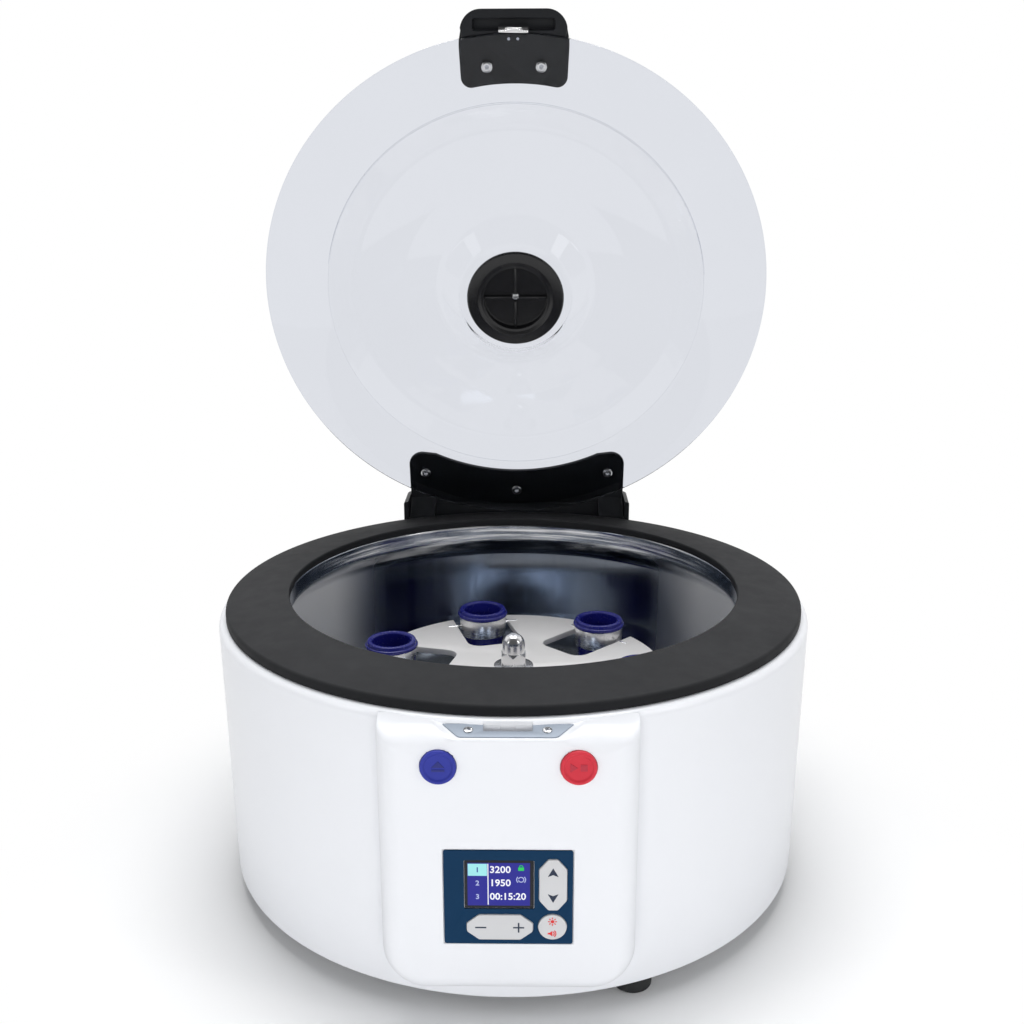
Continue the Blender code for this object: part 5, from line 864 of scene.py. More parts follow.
def panel_mesh():
    """The panel's boss: a height field over x and z.

    Its half width follows the round lower corners; its depth is the face, rounded by a quarter circle
    near the outline, with the keypad's dish, the button wells, the top's slope and side scoops added.
    """
    recess_x, well = KEYPAD_HALF_WIDTH + GAP, BUTTON_RADIUS + GAP
    right = [
        0, WINDOW_X + 0.006, 0.0153, 0.0155, BUTTON_X - well, BUTTON_X, recess_x, recess_x + GAP, 0.0455,
        BUTTON_X + well, PANEL_HALF_WIDTH - PANEL_ROUNDING, PANEL_HALF_WIDTH - 0.005,
        PANEL_HALF_WIDTH - 0.0015, PANEL_HALF_WIDTH,
    ]
    right = sorted(set(right))
    x_right = spaced(right, 0.00075)
    x_right = np.concatenate([x_right, PANEL_HALF_WIDTH - np.array([0.0008, 0.0004, 0.00015])])
    x_right = np.unique(np.round(x_right, 7))
    share = np.concatenate([-x_right[:0:-1], x_right]) / PANEL_HALF_WIDTH
    bottom = [PANEL_BOTTOM + d for d in (0, 0.00015, 0.0005, 0.001, 0.002, 0.0035)]
    stops = [
        PANEL_BOTTOM + 0.005, PANEL_BOTTOM + PANEL_CORNER, KEYPAD_BOTTOM - 0.0055, KEYPAD_BOTTOM - GAP * 2,
        KEYPAD_BOTTOM - GAP,
        KEYPAD_TOP + GAP, KEYPAD_TOP + GAP * 2, KEYPAD_TOP + 0.0065, BUTTON_Z - well, BUTTON_Z,
        BUTTON_Z + well,
        LEDGE_LOW - LEDGE_ROUNDING,
    ]
    front_z = np.concatenate([bottom, spaced(stops, 0.00085)])
    turn = np.linspace(0, math.pi / 2 - LEDGE_SLOPE, 7)[1:]
    lip_z = LEDGE_LOW - LEDGE_ROUNDING + LEDGE_ROUNDING * np.sin(turn)
    lip_y = PANEL_FACE - LEDGE_ROUNDING + LEDGE_ROUNDING * np.cos(turn)
    run = spaced([0.2232, 0.2234, 0.2301, 0.2303, lip_y[-1] - 0.0002], 0.0008)[::-1]
    top_y = np.concatenate([run, [LEDGE_BACK, PANEL_ROOT + 0.012]])
    top_z = lip_z[-1] + (lip_y[-1] - top_y) * math.tan(LEDGE_SLOPE)
    z_rows = np.concatenate([front_z, lip_z, top_z])
    y_rows = np.concatenate([np.full(len(front_z), PANEL_FACE), lip_y, top_y])
    below = np.clip(PANEL_BOTTOM + PANEL_CORNER - z_rows, 0, PANEL_CORNER)
    half_width = PANEL_HALF_WIDTH - PANEL_CORNER + np.sqrt(PANEL_CORNER**2 - below**2)
    x = share[None] * half_width[:, None]
    z = np.repeat(z_rows[:, None], len(share), 1)
    corner_x = np.abs(x) - (PANEL_HALF_WIDTH - PANEL_CORNER)
    corner_z = PANEL_BOTTOM + PANEL_CORNER - z
    in_corner = (corner_x > 0) & (corner_z > 0)
    inside = np.where(
        in_corner, PANEL_CORNER - np.hypot(corner_x, corner_z),
        np.minimum(PANEL_HALF_WIDTH - np.abs(x), z - PANEL_BOTTOM),
    )
    inside = np.clip(inside, 0, PANEL_ROUNDING)
    falling = PANEL_ROUNDING - np.sqrt(np.maximum(PANEL_ROUNDING**2 - (PANEL_ROUNDING - inside) ** 2, 0))
    depth = falling.copy()
    depth[len(front_z):] *= np.clip(
        (y_rows[len(front_z):, None] - PANEL_ROOT - 0.012) / (PANEL_FACE - PANEL_ROOT - 0.012), 0, 1,
    )
    dish_x = 1 - smooth_step(recess_x, 0.0455, np.abs(x))
    dish_z = smooth_step(KEYPAD_BOTTOM - 0.0055, KEYPAD_BOTTOM - GAP * 2, z) * (
        1 - smooth_step(KEYPAD_TOP + GAP * 2, KEYPAD_TOP + 0.0065, z)
    )
    depth += 0.0004 * dish_x * dish_z
    pocket = (np.abs(x) < recess_x + 1e-6) & (z > KEYPAD_BOTTOM - GAP - 1e-6) & (z < KEYPAD_TOP + GAP + 1e-6)
    depth += 0.0010 * pocket
    depth_soft, z_soft = soft_top(y_rows, z_rows, np.abs(x))
    inner_edge = SCOOP_INNER + 0.0105 * np.clip((PANEL_FACE - y_rows) / (PANEL_FACE - LEDGE_BACK), 0, 1)[
        :, None,
    ]
    share_soft = smooth_step(inner_edge, inner_edge + 0.0070, np.abs(x))
    depth += (y_rows[:, None] - depth_soft) * share_soft
    z = z + (z_soft - z) * share_soft
    for middle in BUTTON_MIDDLES:
        off_x, off_z = x - middle, z - BUTTON_Z
        reach = np.hypot(off_x, off_z)
        near = (np.abs(reach - well) < 0.00045) & (reach > 0)
        pull = np.where(near, well / np.maximum(reach, 1e-9), 1.0)
        x, z = middle + off_x * pull, BUTTON_Z + off_z * pull
        depth = np.where((reach < well) & ~near, 0.0040, depth)
    slot = (np.abs(x) < 0.0154) & (y_rows[:, None] < 0.2302) & (y_rows[:, None] > 0.2233) & (
        z_rows[:, None] > 0.2
    )
    z = np.where(slot, 0.1900, z)
    grid = np.stack([x, -(y_rows[:, None] - depth), z], -1)
    left, right_edge = grid[:, :1].copy(), grid[:, -1:].copy()
    left[..., 1] = right_edge[..., 1] = -PANEL_ROOT
    grid = np.concatenate([left, grid, right_edge], 1)
    lowest = grid[:1].copy()
    lowest[..., 1] = -PANEL_ROOT
    grid = np.concatenate([lowest, grid], 0)
    deep = (np.abs(grid[..., 0]) < PAWL_HALF_WIDTH + 0.0010) & (grid[..., 1] > -0.2240) & (
        grid[..., 1] < -0.2225
    )
    passage = deep[:-1, :-1] & deep[1:, :-1] & deep[:-1, 1:] & deep[1:, 1:]
    return grid_mesh("panel", grid, open_sheet=True, without=passage)


def soft_top(y_rows, z_rows, distance):
    """Depth and height of the panel's rolled top beside the lock plate.

    Each column runs straight up to its own start line, which dips beside the button, then follows a quarter
    ellipse back to the ring; the rows are shared out along that path.
    """
    start = SCOOP_HIGH - (SCOOP_HIGH - SCOOP_LOW) * np.exp(-(((distance - SCOOP_MIDDLE) / 0.016) ** 2))
    first = int(np.searchsorted(z_rows, SCOOP_LOW - 0.004))
    last = int(np.argmin(np.abs(y_rows - LEDGE_BACK)))
    steps = np.hypot(np.diff(y_rows), np.diff(z_rows))
    walked = np.concatenate([[0], np.cumsum(steps)])
    share = np.clip((walked - walked[first]) / (walked[last] - walked[first]), 0, 1)[:, None]
    straight = start - z_rows[first]
    bend = 0.0275
    along = share * (straight + bend)
    turn = np.clip((along - straight) / bend, 0, 1) * math.pi / 2
    height = np.where(along < straight, z_rows[first] + along, start + (SCOOP_TOP - start) * np.sin(turn))
    depth = LEDGE_BACK + (PANEL_FACE - LEDGE_BACK) * np.cos(turn)
    rows = np.arange(len(z_rows))[:, None]
    height = np.where(rows <= first, z_rows[:, None], np.where(rows > last, z_rows[:, None], height))
    depth = np.where(rows <= first, y_rows[:, None], np.where(rows > last, y_rows[:, None], depth))
    return depth, height


def make_housing():
    """White wall with its shoulder, the front panel's boss and the rear pad."""
    wall = turned("wall", housing_profile(), 256, closed=True)
    slot_cut = box_mesh("slot_cut", (-0.0153, -0.2303, 0.189), (0.0153, -0.2229, 0.22))
    pawl_cut = box_mesh(
        "pawl_cut", (-PAWL_HALF_WIDTH - 0.0006, -0.2303, 0.1945), (PAWL_HALF_WIDTH + 0.0006, -0.2150, 0.2035),
    )
    wall = carved(wall, [slot_cut, pawl_cut])
    add_piece("housing_wall", wall, WHITE_PAINT, "base", ["housing_shell"], 50)
    add_piece("housing_panel", panel_mesh(), WHITE_PAINT, "base", (), 60)
    pad = slab("pad", rectangle(-0.040, 0.040, 0.0350, 0.0850, 0.006, 8), 0.2150, 0.2320, 0.003, BACK_VIEW, 5)
    inlet_cut = box_mesh("inlet_cut", (-0.0285, 0.19, 0.0465), (0.0285, 0.24, 0.0735))
    add_piece("housing_rear_pad", carved(pad, [inlet_cut]), WHITE_PAINT, "base")


def make_gasket():
    """Rubber ring: a sloping top between a soft outer roll and a crisp inner lip."""
    outline = [
        (GASKET_INNER_RADIUS, GASKET_INNER_TOP),
        (GASKET_OUTER_RADIUS, GASKET_OUTER_TOP),
        (GASKET_OUTER_RADIUS, DECK_TOP + GAP),
        (0.1977, DECK_TOP + GAP),
        (0.1977, GASKET_INNER_TOP - GASKET_LIP),
        (GASKET_INNER_RADIUS, GASKET_INNER_TOP - GASKET_LIP),
    ]
    profile = rounded(outline, [0.0012, 0.0024, 0.0006, 0, 0, 0.0005], 6)
    add_piece("ring_of_rubber", turned("ring", profile, 256, closed=True), RUBBER, "base", ["rim_gasket"], 50)


def make_bowl():
    """Pressed steel bowl: neck, rolled shoulder, straight side, wide floor curve and a raised middle."""
    inner = rounded(
        [
            (0.1965, DECK_TOP + GAP),
            (0.1965, 0.2203),
            (0.1728, 0.2203),
            (0.1728, 0.2060),
            (BOWL_RADIUS, 0.1920),
            (BOWL_RADIUS, 0.0700),
            (0.0400, 0.0700),
            (0.0300, 0.0900),
            (0.0215, 0.0900),
        ],
        [0, 0.001, 0.001, 0.006, 0.010, 0.095, 0.006, 0.003, 0],
        14,
    )
    along = np.gradient(inner, axis=0)
    normal = np.stack([-along[:, 1], along[:, 0]], -1) / np.linalg.norm(along, axis=1)[:, None]
    outer = inner + normal * BOWL_STEEL * 0.5
    profile = np.concatenate([inner, outer[::-1]])
    add_piece(
        "steel_bowl", turned("bowl", profile, 256, closed=True), BOWL_STEEL_FINISH, "base", ["rotor_bowl"],
        50,
    )


def make_feet():
    """Rubber feet with a rounded lower rim."""
    for number in range(4):
        angle = math.radians(-66) + number * math.pi / 2
        place = Matrix.Translation((0.204 * math.cos(angle), 0.204 * math.sin(angle), 0))
        profile = rounded([(0, 0.0142), (0.0135, 0.0142), (0.0135, 0), (0, 0)], [0, 0.0008, 0.003, 0], 6)
        add_piece(
            f"rubber_foot_{number + 1}", turned("foot", profile, 48, place=place), FOOT_RUBBER, "base",
            [f"foot_{number + 1}"],
        )


# Rotor and buckets


def bucket_turn(index):
    """Turn about the rotor's axis that brings +X to a bucket."""
    return Matrix.Rotation(BUCKET_FIRST_ANGLE + index * math.pi / 3, 4, "Z")


def rotor_outline():
    """The plate's outline: arcs of its rim joined by six slots with round inner corners."""
    loops = []
    reach = math.asin(SLOT_HALF_WIDTH / PLATE_RADIUS)
    for index in range(BUCKET_COUNT):
        middle = BUCKET_FIRST_ANGLE + index * math.pi / 3
        rim_end = PLATE_RADIUS * math.cos(reach)
        slot = rounded(
            [
                (rim_end, -SLOT_HALF_WIDTH), (SLOT_INNER_END, -SLOT_HALF_WIDTH),
                (SLOT_INNER_END, SLOT_HALF_WIDTH), (rim_end, SLOT_HALF_WIDTH),
            ],
            [0, SLOT_CORNER, SLOT_CORNER, 0],
            8,
        )
        turn = np.array([[math.cos(middle), math.sin(middle)], [-math.sin(middle), math.cos(middle)]])
        loops.append(slot @ turn)
        arc = np.linspace(middle + reach, middle + math.pi / 3 - reach, 24)[1:-1]
        loops.append(np.stack([PLATE_RADIUS * np.cos(arc), PLATE_RADIUS * np.sin(arc)], -1))
    return np.concatenate(loops)


def make_rotor():
    """Slotted plate on its hub, washer and domed nut."""
    plate = holed_plate(
        "plate", [rotor_outline(), circle(0, 0, 0.0063, 32)], PLATE_TOP - PLATE_THICKNESS, PLATE_TOP, 0.0005,
    )
    hub_profile = rounded(
        [(0.0063, 0.1478), (HUB_RADIUS, 0.1478), (HUB_RADIUS, 0.1300), (0.0063, 0.1300)], [0, 0, 0.001, 0], 3,
    )
    hub = turned("hub", hub_profile, 64, closed=True)
    add_piece(
        "slotted_plate", merged("slotted_plate", [plate, hub]), PLATE_METAL, "rotor", ["rotor_plate"], 30,
    )
    washer = rounded(
        [(0.0063, 0.1558), (0.0158, 0.1558), (0.0158, 0.1533), (0.0063, 0.1533)], [0, 0.0006, 0.0004, 0], 4,
    )
    add_piece("washer", turned("washer", washer, 96, closed=True), NUT_STEEL, "rotor", ["rotor_washer"])
    add_piece("domed_nut", nut_mesh(), NUT_STEEL, "rotor", ["rotor_nut"], 28)


def nut_mesh():
    """Domed nut on a grid of angle and height: six flats below, whose corners are cut back by a cone, then a
    ball.
    """
    angle = np.linspace(0, 2 * math.pi, 96, endpoint=False)[None]
    flat = 0.0110 * math.cos(math.pi / 6) / np.cos((angle + math.pi / 6) % (math.pi / 3) - math.pi / 6)
    bottom, hex_top, neck = 0.1561, 0.1669, 0.1731
    height = np.array([bottom, bottom
        + 0.0006, hex_top - 0.003, hex_top - 0.0022, hex_top - 0.0014, hex_top - 0.0007, hex_top])[
        :, None,
    ]
    cone = 0.0112 - np.clip(height - (hex_top - 0.0026), 0, 1) * 0.62
    foot = np.array([0.0104, 0.0112, 1, 1, 1, 1, 1])[:, None]
    hexagon = np.minimum(np.minimum(flat, cone), foot)
    ball = np.linspace(math.pi / 2, 0, 16)[:, None]
    round_rows = np.concatenate([np.full((1, 1), 0.0091) + 0 * angle, 0.0091 * np.sin(ball) + 0 * angle])
    round_height = np.concatenate([[[hex_top]], neck + 0.0091 * np.cos(ball)])
    radius = np.concatenate([0.0063 + 0 * angle, hexagon, round_rows])
    level = np.concatenate([[[bottom]], height, round_height]) + 0 * angle
    grid = np.stack([radius * np.cos(angle), radius * np.sin(angle), level], -1)
    return grid_mesh("nut", grid, around=True)


def make_buckets():
    """Blue cups with a rolled double rim in steel collars with side pins."""
    cup_profile = rounded(
        [
            (0, -0.0650), (CUP_BORE_RADIUS, -0.0650), (CUP_BORE_RADIUS, 0.0128), (0.0168, 0.0141), (
                0.0198, 0.0141,
            ),
            (0.0203, 0.0112), (RIM_RADIUS, 0.0108), (RIM_RADIUS, 0.0083), (CUP_OUTER_RADIUS, 0.0083),
            (CUP_OUTER_RADIUS, -0.0675), (0, -0.0675),
        ],
        [0, 0.004, 0.0008, 0.0006, 0.0012, 0.0004, 0.0009, 0.0006, 0, 0.006, 0],
        5,
    )
    collar_profile = rounded(
        [(COLLAR_RADIUS, 0.0080), (COLLAR_RADIUS, -0.0080), (0.0180, -0.0080), (0.0180, 0.0080)],
        [0.0006, 0.0006, 0.0003, 0.0003],
        3,
    )
    for index in range(BUCKET_COUNT):
        number = index + 1
        place = bucket_turn(index) @ Matrix.Translation((BUCKET_CIRCLE_RADIUS, 0, PLATE_TOP))
        cup = turned("cup", cup_profile, 96, place=place)
        add_piece(f"blue_cup_{number}", cup, CUP_BLUE, f"bucket_{number}", [f"bucket_{number}_cup"])
        collar = turned("collar", collar_profile, 96, closed=True, place=place)
        pins = []
        for side in (-1, 1):
            pin_profile = rounded(
                [(0, 0.0310), (0.0019, 0.0310), (0.0019, 0.0185), (0, 0.0185)], [0, 0.0005, 0, 0], 3,
            )
            lay_down = Matrix.Translation((0, 0, -0.0014)) @ place @ Matrix.Rotation(
                -side * math.pi / 2, 4, "X",
            )
            pins.append(turned("pin", pin_profile, 24, place=lay_down))
        x, y = (place @ Vector((0, 0, 0))).xy
        steel = brushed_finish(
            f"collar_steel_{number}", "polished_steel", (0.86, 0.86, 0.87), 0.26, around=2.0, along=1800.0,
            radial=0.0,
            strength=0.01, spread=0.06, centre=(x, y, 0),
        )
        add_piece(
            f"steel_collar_{number}", merged("steel_collar", [collar, *pins]), steel, f"bucket_{number}",
            [f"bucket_{number}_collar"],
        )


# Lid


def lid_profile():
    """Underside of the lid from the rim to the port, then the same curve moved up by the wall's thickness."""
    under = rounded(
        [
            (LID_RADIUS, LID_PLANE),
            (0.1640, LID_PLANE),
            (0.1420, LID_PLANE + 0.0100),
            (0.1000, LID_PLANE + 0.0125),
            (0.0680, LID_PLANE + 0.0125),
            (0.0500, PORT_SEAT),
            (0.0305, PORT_SEAT),
        ],
        [0, 0.004, 0.016, 0.02, 0.010, 0.004, 0],
        14,
    )
    fine = np.concatenate([under[:, 0], np.arange(0.1600, 0.1675, 0.00015)])
    fine = np.unique(fine)[::-1]
    under = np.stack([fine, np.interp(fine, under[::-1, 0], under[::-1, 1])], -1)
    along = np.gradient(under, axis=0)
    normal = np.stack([along[:, 1], -along[:, 0]], -1) / np.linalg.norm(along, axis=1)[:, None]
    if normal[0, 1] < 0:
        normal = -normal
    upper = under + normal * LID_THICKNESS
    upper[0] = (LID_RADIUS, LID_TOP)
    upper[-1] = (0.0305, PORT_SEAT + LID_THICKNESS)
    under[:, 1] += 0.0009 * (1 - smooth_step(0.1636, 0.1644, under[:, 0])) * smooth_step(
        0.1500, 0.1600, under[:, 0],
    )
    rim = rounded([upper[1], upper[0], under[0], under[1]], [0, 0.0012, 0.0012, 0], 5)
    return np.concatenate([under[1:], upper[::-1][:-1], rim[1:-1]])


def make_lid():
    """Clear lid with its port cup, cap and screw."""
    add_piece(
        "clear_lid", turned("lid", lid_profile(), 320, closed=True, place=LID_OPEN), CLEAR, "lid",
        ["lid_shell"], 50,
    )
    flange_top = PORT_SEAT - GAP
    flange_low = flange_top - 0.0040
    recess_top = flange_low + 0.0090
    tube_top = recess_top + 0.0025
    cup_profile = rounded(
        [
            (0.0023, tube_top), (0.0302, tube_top), (0.0302, flange_top), (0.0427, flange_top),
            (0.0415, flange_low + 0.0008), (0.0330, flange_low), (0.0300, flange_low + 0.0012),
            (0.0277, flange_low + 0.0016), (0.0277, recess_top), (0.0023, recess_top),
        ],
        [0, 0, 0, 0.0010, 0.0012, 0.0020, 0.0006, 0.0004, 0.0006, 0],
        5,
    )
    cup = turned("cup", cup_profile, 128, closed=True)
    ribs = []
    for quarter in range(4):
        turn = LID_OPEN @ Matrix.Rotation(quarter * math.pi / 2, 4, "Z")
        ribs.append(
            box_mesh(
                "rib", (0.0036, -0.0010, recess_top - 0.0040), (0.0285, 0.0010, recess_top + 0.001), 0.0003,
                turn,
            )
        )
    cup.transform(LID_OPEN)
    add_piece("port_cup", merged("port_cup", [cup, *ribs]), GLOSS_BLACK, "lid", ["lid_port_cup"])
    cap_low = PORT_SEAT + LID_THICKNESS + GAP
    cap_profile = rounded(
        [
            (0, cap_low + 0.013), (0.0330, cap_low + 0.013), (0.0330, cap_low), (0.0305, cap_low),
            (0.0305, tube_top + GAP), (0, tube_top + GAP),
        ],
        [0, 0.0040, 0.0006, 0, 0, 0],
        6,
    )
    add_piece(
        "port_cap", turned("cap", cap_profile, 96, place=LID_OPEN), BLACK_PLASTIC, "lid", ["lid_port_cap"],
    )
    head_high = recess_top - GAP
    place = LID_OPEN @ Matrix.Translation((0, 0, head_high))
    screw = screw_mesh("port_screw", 0.0033, 0.0020, 0.0020, 0.0075, place, "hex")
    add_piece("port_centre_screw", screw, SCREW_STEEL, "lid", ["lid_port_screw"])


def screw_mesh(name, head, thickness, shank, reach, place, drive):
    """A screw hanging head down from z = 0: rings of angle and step, whose inner rings take the drive's
    shape.

    The head is a flattened dome; the drive is a six-sided socket or a cross whose arms lie within a width.
    """
    angle = np.linspace(0, 2 * math.pi, 72, endpoint=False)[None]
    if drive == "hex":
        inner = head * 0.50 * math.cos(math.pi / 6) / np.cos(
            (angle + math.pi / 6) % (math.pi / 3) - math.pi / 6
        )
    else:
        near_arm = np.abs((angle + math.pi / 4) % (math.pi / 2) - math.pi / 4)
        inner = np.minimum(head * 0.62, head * 0.14 / np.maximum(np.sin(near_arm), 0.05))
    dome = np.linspace(0, math.pi / 2, 8)[:, None]
    dome_radius = inner + (head - inner) * np.cos(dome)
    dome_height = -thickness * (0.35 + 0.65 * np.sin(dome)) + 0 * angle
    floor = thickness * 1.2
    radius = np.concatenate(
        [
            0 * angle, shank + 0 * angle, shank + 0 * angle, head + 0 * angle, dome_radius, inner * 0.94,
            0 * angle,
        ]
    )
    height = np.concatenate(
        [
            reach + 0 * angle, reach + 0 * angle, 0 * angle, 0 * angle, dome_height, floor + 0 * angle,
            floor + 0 * angle,
        ]
    )
    grid = np.stack([radius * np.cos(angle), radius * np.sin(angle), height], -1)
    return grid_mesh(name, grid, around=True, place=place)


def latch_outline():
    """Plan of the latch housing, with its hollow rear edge along the lid's step."""
    right_side = rounded(
        [(0.0255, -0.1762), (0.0425, -0.1752), (0.0440, -0.2100), (0.0395, -0.2380), (0, -0.2380)],
        [0, 0.0150, 0.0400, 0.0165, 0],
        10,
    )[1:-1]
    reach = math.asin(0.0255 / 0.1790)
    arc = np.linspace(reach, 0, 9)
    hollow = np.stack([0.1790 * np.sin(arc), -0.1790 * np.cos(arc)], -1)[::-1]
    return mirrored(np.concatenate([hollow[1:], right_side]))


def dense(outline, step):
    """The outline with extra points, so that no side is longer than the step."""
    after = np.roll(outline, -1, 0)
    return np.concatenate(
        [
            a + (b - a) * np.linspace(0, 1, max(int(np.linalg.norm(b - a) / step), 1), endpoint=False)[:, None]
            for a, b in zip(outline, after)
        ]
    )


def reshape(mesh, way):
    """Move a mesh's points by a function of their places."""
    points = np.empty(len(mesh.vertices) * 3)
    mesh.vertices.foreach_get("co", points)
    mesh.vertices.foreach_set("co", way(points.reshape(-1, 3)).ravel())
    mesh.update()


def lean_front(points):
    """The latch's front leans back as it rises, by a share of the height above its nose."""
    near = smooth_step(0.2130, 0.2330, -points[:, 1])
    points[:, 1] += 0.17 * (points[:, 2] - 0.2136) * near
    return points


def bend_striker(points):
    """The striker's free end is pressed forward in the middle and back at one side, more towards its tip."""
    tip = 1 - smooth_step(0.1925, 0.2080, points[:, 2])
    wave = 0.0016 * np.exp(-(((points[:, 0] - 0.0005) / 0.0045) ** 2)) - 0.0004 * smooth_step(
        0.003, 0.009, points[:, 0],
    )
    points[:, 1] -= wave * tip
    return points


def make_latch():
    """Latch housing: a cover on the lid, a nose beyond the rim with a recess below, striker, boss and
    screws.
    """
    outline = latch_outline()
    low = LID_TOP + GAP
    rise = np.linspace(0, math.pi / 2, 8)
    levels = [(low, 0.0006), (low + 0.0006, 0)]
    levels += [(low + 0.0055 + 0.0065 * math.sin(a), 0.0065 * (1 - math.cos(a))) for a in rise]
    cover = layered("cover", outline, levels)
    front = outline[outline[:, 1] < -0.2030]
    order = np.argsort(np.arctan2(front[:, 0], -front[:, 1]))
    front = front[order]
    front = front[np.hypot(front[:, 0], front[:, 1]) > 0.2210]
    ends = np.arctan2(front[[0, -1], 0], -front[[0, -1], 1])
    back_angle = np.linspace(ends[1], ends[0], 40)
    back = np.stack([0.2208 * np.sin(back_angle), -0.2208 * np.cos(back_angle)], -1)
    nose_outline = np.concatenate([front, back])
    recess = rectangle(-0.0320, 0.0320, -0.2308, -0.2222, 0.0020)
    skirt = holed_plate("skirt", [nose_outline, recess], 0.2136, 0.2222, 0.0009)
    web = slab("web", nose_outline, 0.2218, low + 0.004, 0.0002)
    housing = merged("latch_cover", [cover, skirt, web])
    reshape(housing, lean_front)
    housing.transform(LID_OPEN)
    add_piece("latch_cover", housing, BLACK_PLASTIC, "lid", ["latch_housing"], 45)
    striker_outline = dense(rectangle(-0.0115, 0.0115, 0.1925, 0.2213, 0.0020), 0.0008)
    window = dense(rectangle(-0.0065, 0.0065, 0.1960, 0.2025, 0.0010), 0.0008)
    striker = holed_plate("striker", [striker_outline, window], 0.2240, 0.2256, 0.0003, FRONT_VIEW)
    reshape(striker, bend_striker)
    striker.transform(LID_OPEN)
    add_piece("striker", striker, NUT_STEEL, "lid", ["latch_striker"])
    boss = rounded(
        [(-0.0090, -0.2075), (0.0090, -0.2075), (0.0090, -0.2000), (0, -0.1965), (-0.0090, -0.2000)],
        [0.002, 0.002, 0.004, 0.006, 0.004], 6,
    )
    boss_mesh = slab("boss", boss, LID_TOP + 0.00005, LID_TOP + 0.0008, 0.0002, LID_OPEN)
    add_piece("latch_boss", boss_mesh, BLACK_PLASTIC, "lid")
    dots = []
    for x in (-0.0042, 0.0030):
        profile = rounded([(0, 0.0008), (0.0011, 0.0008), (0.0011, 0), (0, 0)], [0, 0.0004, 0, 0], 3)
        place = LID_OPEN @ Matrix.Translation((x, -0.2130, LID_TOP + 0.0002))
        dots.append(turned("rivet", profile, 20, place=place))
    add_piece("striker_rivets", merged("striker_rivets", dots), SCREW_STEEL, "lid")
    for side, name in ((-1, "latch_screw_left"), (1, "latch_screw_right")):
        place = LID_OPEN @ Matrix.Translation((side * 0.0217, -0.1926, LID_PLANE - GAP))
        add_piece(
            name + "_fine", screw_mesh(name, 0.0046, 0.0018, 0.0020, 0.0065, place, "hex"), SCREW_STEEL,
            "lid", [name],
        )


def make_bracket():
    """Hinge bracket on the lid: a plate with two lobes and a hollow front edge, and two arms to the pins."""
    low = LID_TOP + GAP
    high = low + 0.0040
    right_side = rounded(
        [(0.0760, 0.1560), (0.1015, 0.1560), (0.1015, 0.2105), (0, 0.2105)], [0, 0.0130, 0.0020, 0], 10
    )[1:-1]
    reach = math.asin(0.0760 / 0.1750)
    arc = np.linspace(0, reach, 24)
    hollow = np.stack([0.1750 * np.sin(arc), 0.1750 * np.cos(arc)], -1)
    plate = slab("plate", mirrored(np.concatenate([hollow[1:], right_side])), low, high, 0.0010, LID_OPEN, 4)
    barrel = np.linspace(0, math.pi, 17)
    barrel_arc = np.stack(
        [HINGE_Y - BARREL_RADIUS * np.cos(barrel), HINGE_Z - BARREL_RADIUS * np.sin(barrel)], -1,
    )
    arm_top = rounded(
        [
            (HINGE_Y + BARREL_RADIUS, HINGE_Z), (HINGE_Y + BARREL_RADIUS, high), (0.1950, high),
            (0.1950, low + 0.0006), (0.2045, low),
        ],
        [0, 0.0050, 0, 0, 0],
        6,
    )[1:]
    arms = []
    for ends in ((-0.1012, -0.0780), (0.0780, 0.1012)):
        arms.append(slab("arm", np.concatenate([barrel_arc, arm_top]), *ends, 0.0006, LID_OPEN @ SIDE_VIEW))
    add_piece(
        "lid_bracket", merged("lid_bracket", [plate, *arms]), BLACK_PLASTIC, "lid", ["hinge_lid_bracket"], 45,
    )
    places = (
        ("hinge_screw_left", -0.0860, 0.1755), ("hinge_screw_right", 0.0860, 0.1755),
        ("hinge_screw_middle", 0, 0.1940),
    )
    for name, x, y in places:
        place = LID_OPEN @ Matrix.Translation((x, y, LID_PLANE - GAP))
        add_piece(
            name + "_fine", screw_mesh(name, 0.0046, 0.0018, 0.0020, 0.0065, place, "hex"), SCREW_STEEL,
            "lid", [name],
        )


# Lock, buttons and keypad


def make_lock():
    """Lock plate with its notch, and two cross-slotted screws."""
    length = math.hypot(PANEL_FACE - LEDGE_BACK, LEDGE_HIGH - LEDGE_LOW)
    front = -length + LEDGE_ROUNDING
    notch_front = -(0.2300 - LEDGE_BACK) / math.cos(LEDGE_SLOPE)
    outline = rounded(
        [
            (-0.0405, -0.0010), (-0.0300, front), (0.0300, front), (0.0405, -0.0010), (0.0150, -0.0010),
            (0.0150, notch_front), (-0.0150, notch_front), (-0.0150, -0.0010),
        ],
        [0.0004, 0.0050, 0.0050, 0.0004, 0.0004, 0.0006, 0.0006, 0.0004],
        8,
    )
    plate = slab("plate", outline, -0.0010, 0.00035, 0.0003, LEDGE_VIEW)
    add_piece("lock_cover", plate, LOCK_STEEL, "base", ["lock_plate"])
    for side, name in ((-1, "lock_plate_screw_left"), (1, "lock_plate_screw_right")):
        y = (-length + LEDGE_ROUNDING - 0.0010) / 2
        flip = Matrix.Rotation(math.pi, 4, "X")
        place = LEDGE_VIEW @ Matrix.Translation((side * 0.0240, y, 0.0004)) @ flip @ Matrix.Rotation(
            0.5 * side, 4, "Z",
        )
        add_piece(
            name + "_fine", screw_mesh(name, 0.0030, 0.0009, 0.0014, 0.0040, place, "cross"), SCREW_STEEL,
            "base", [name],
        )


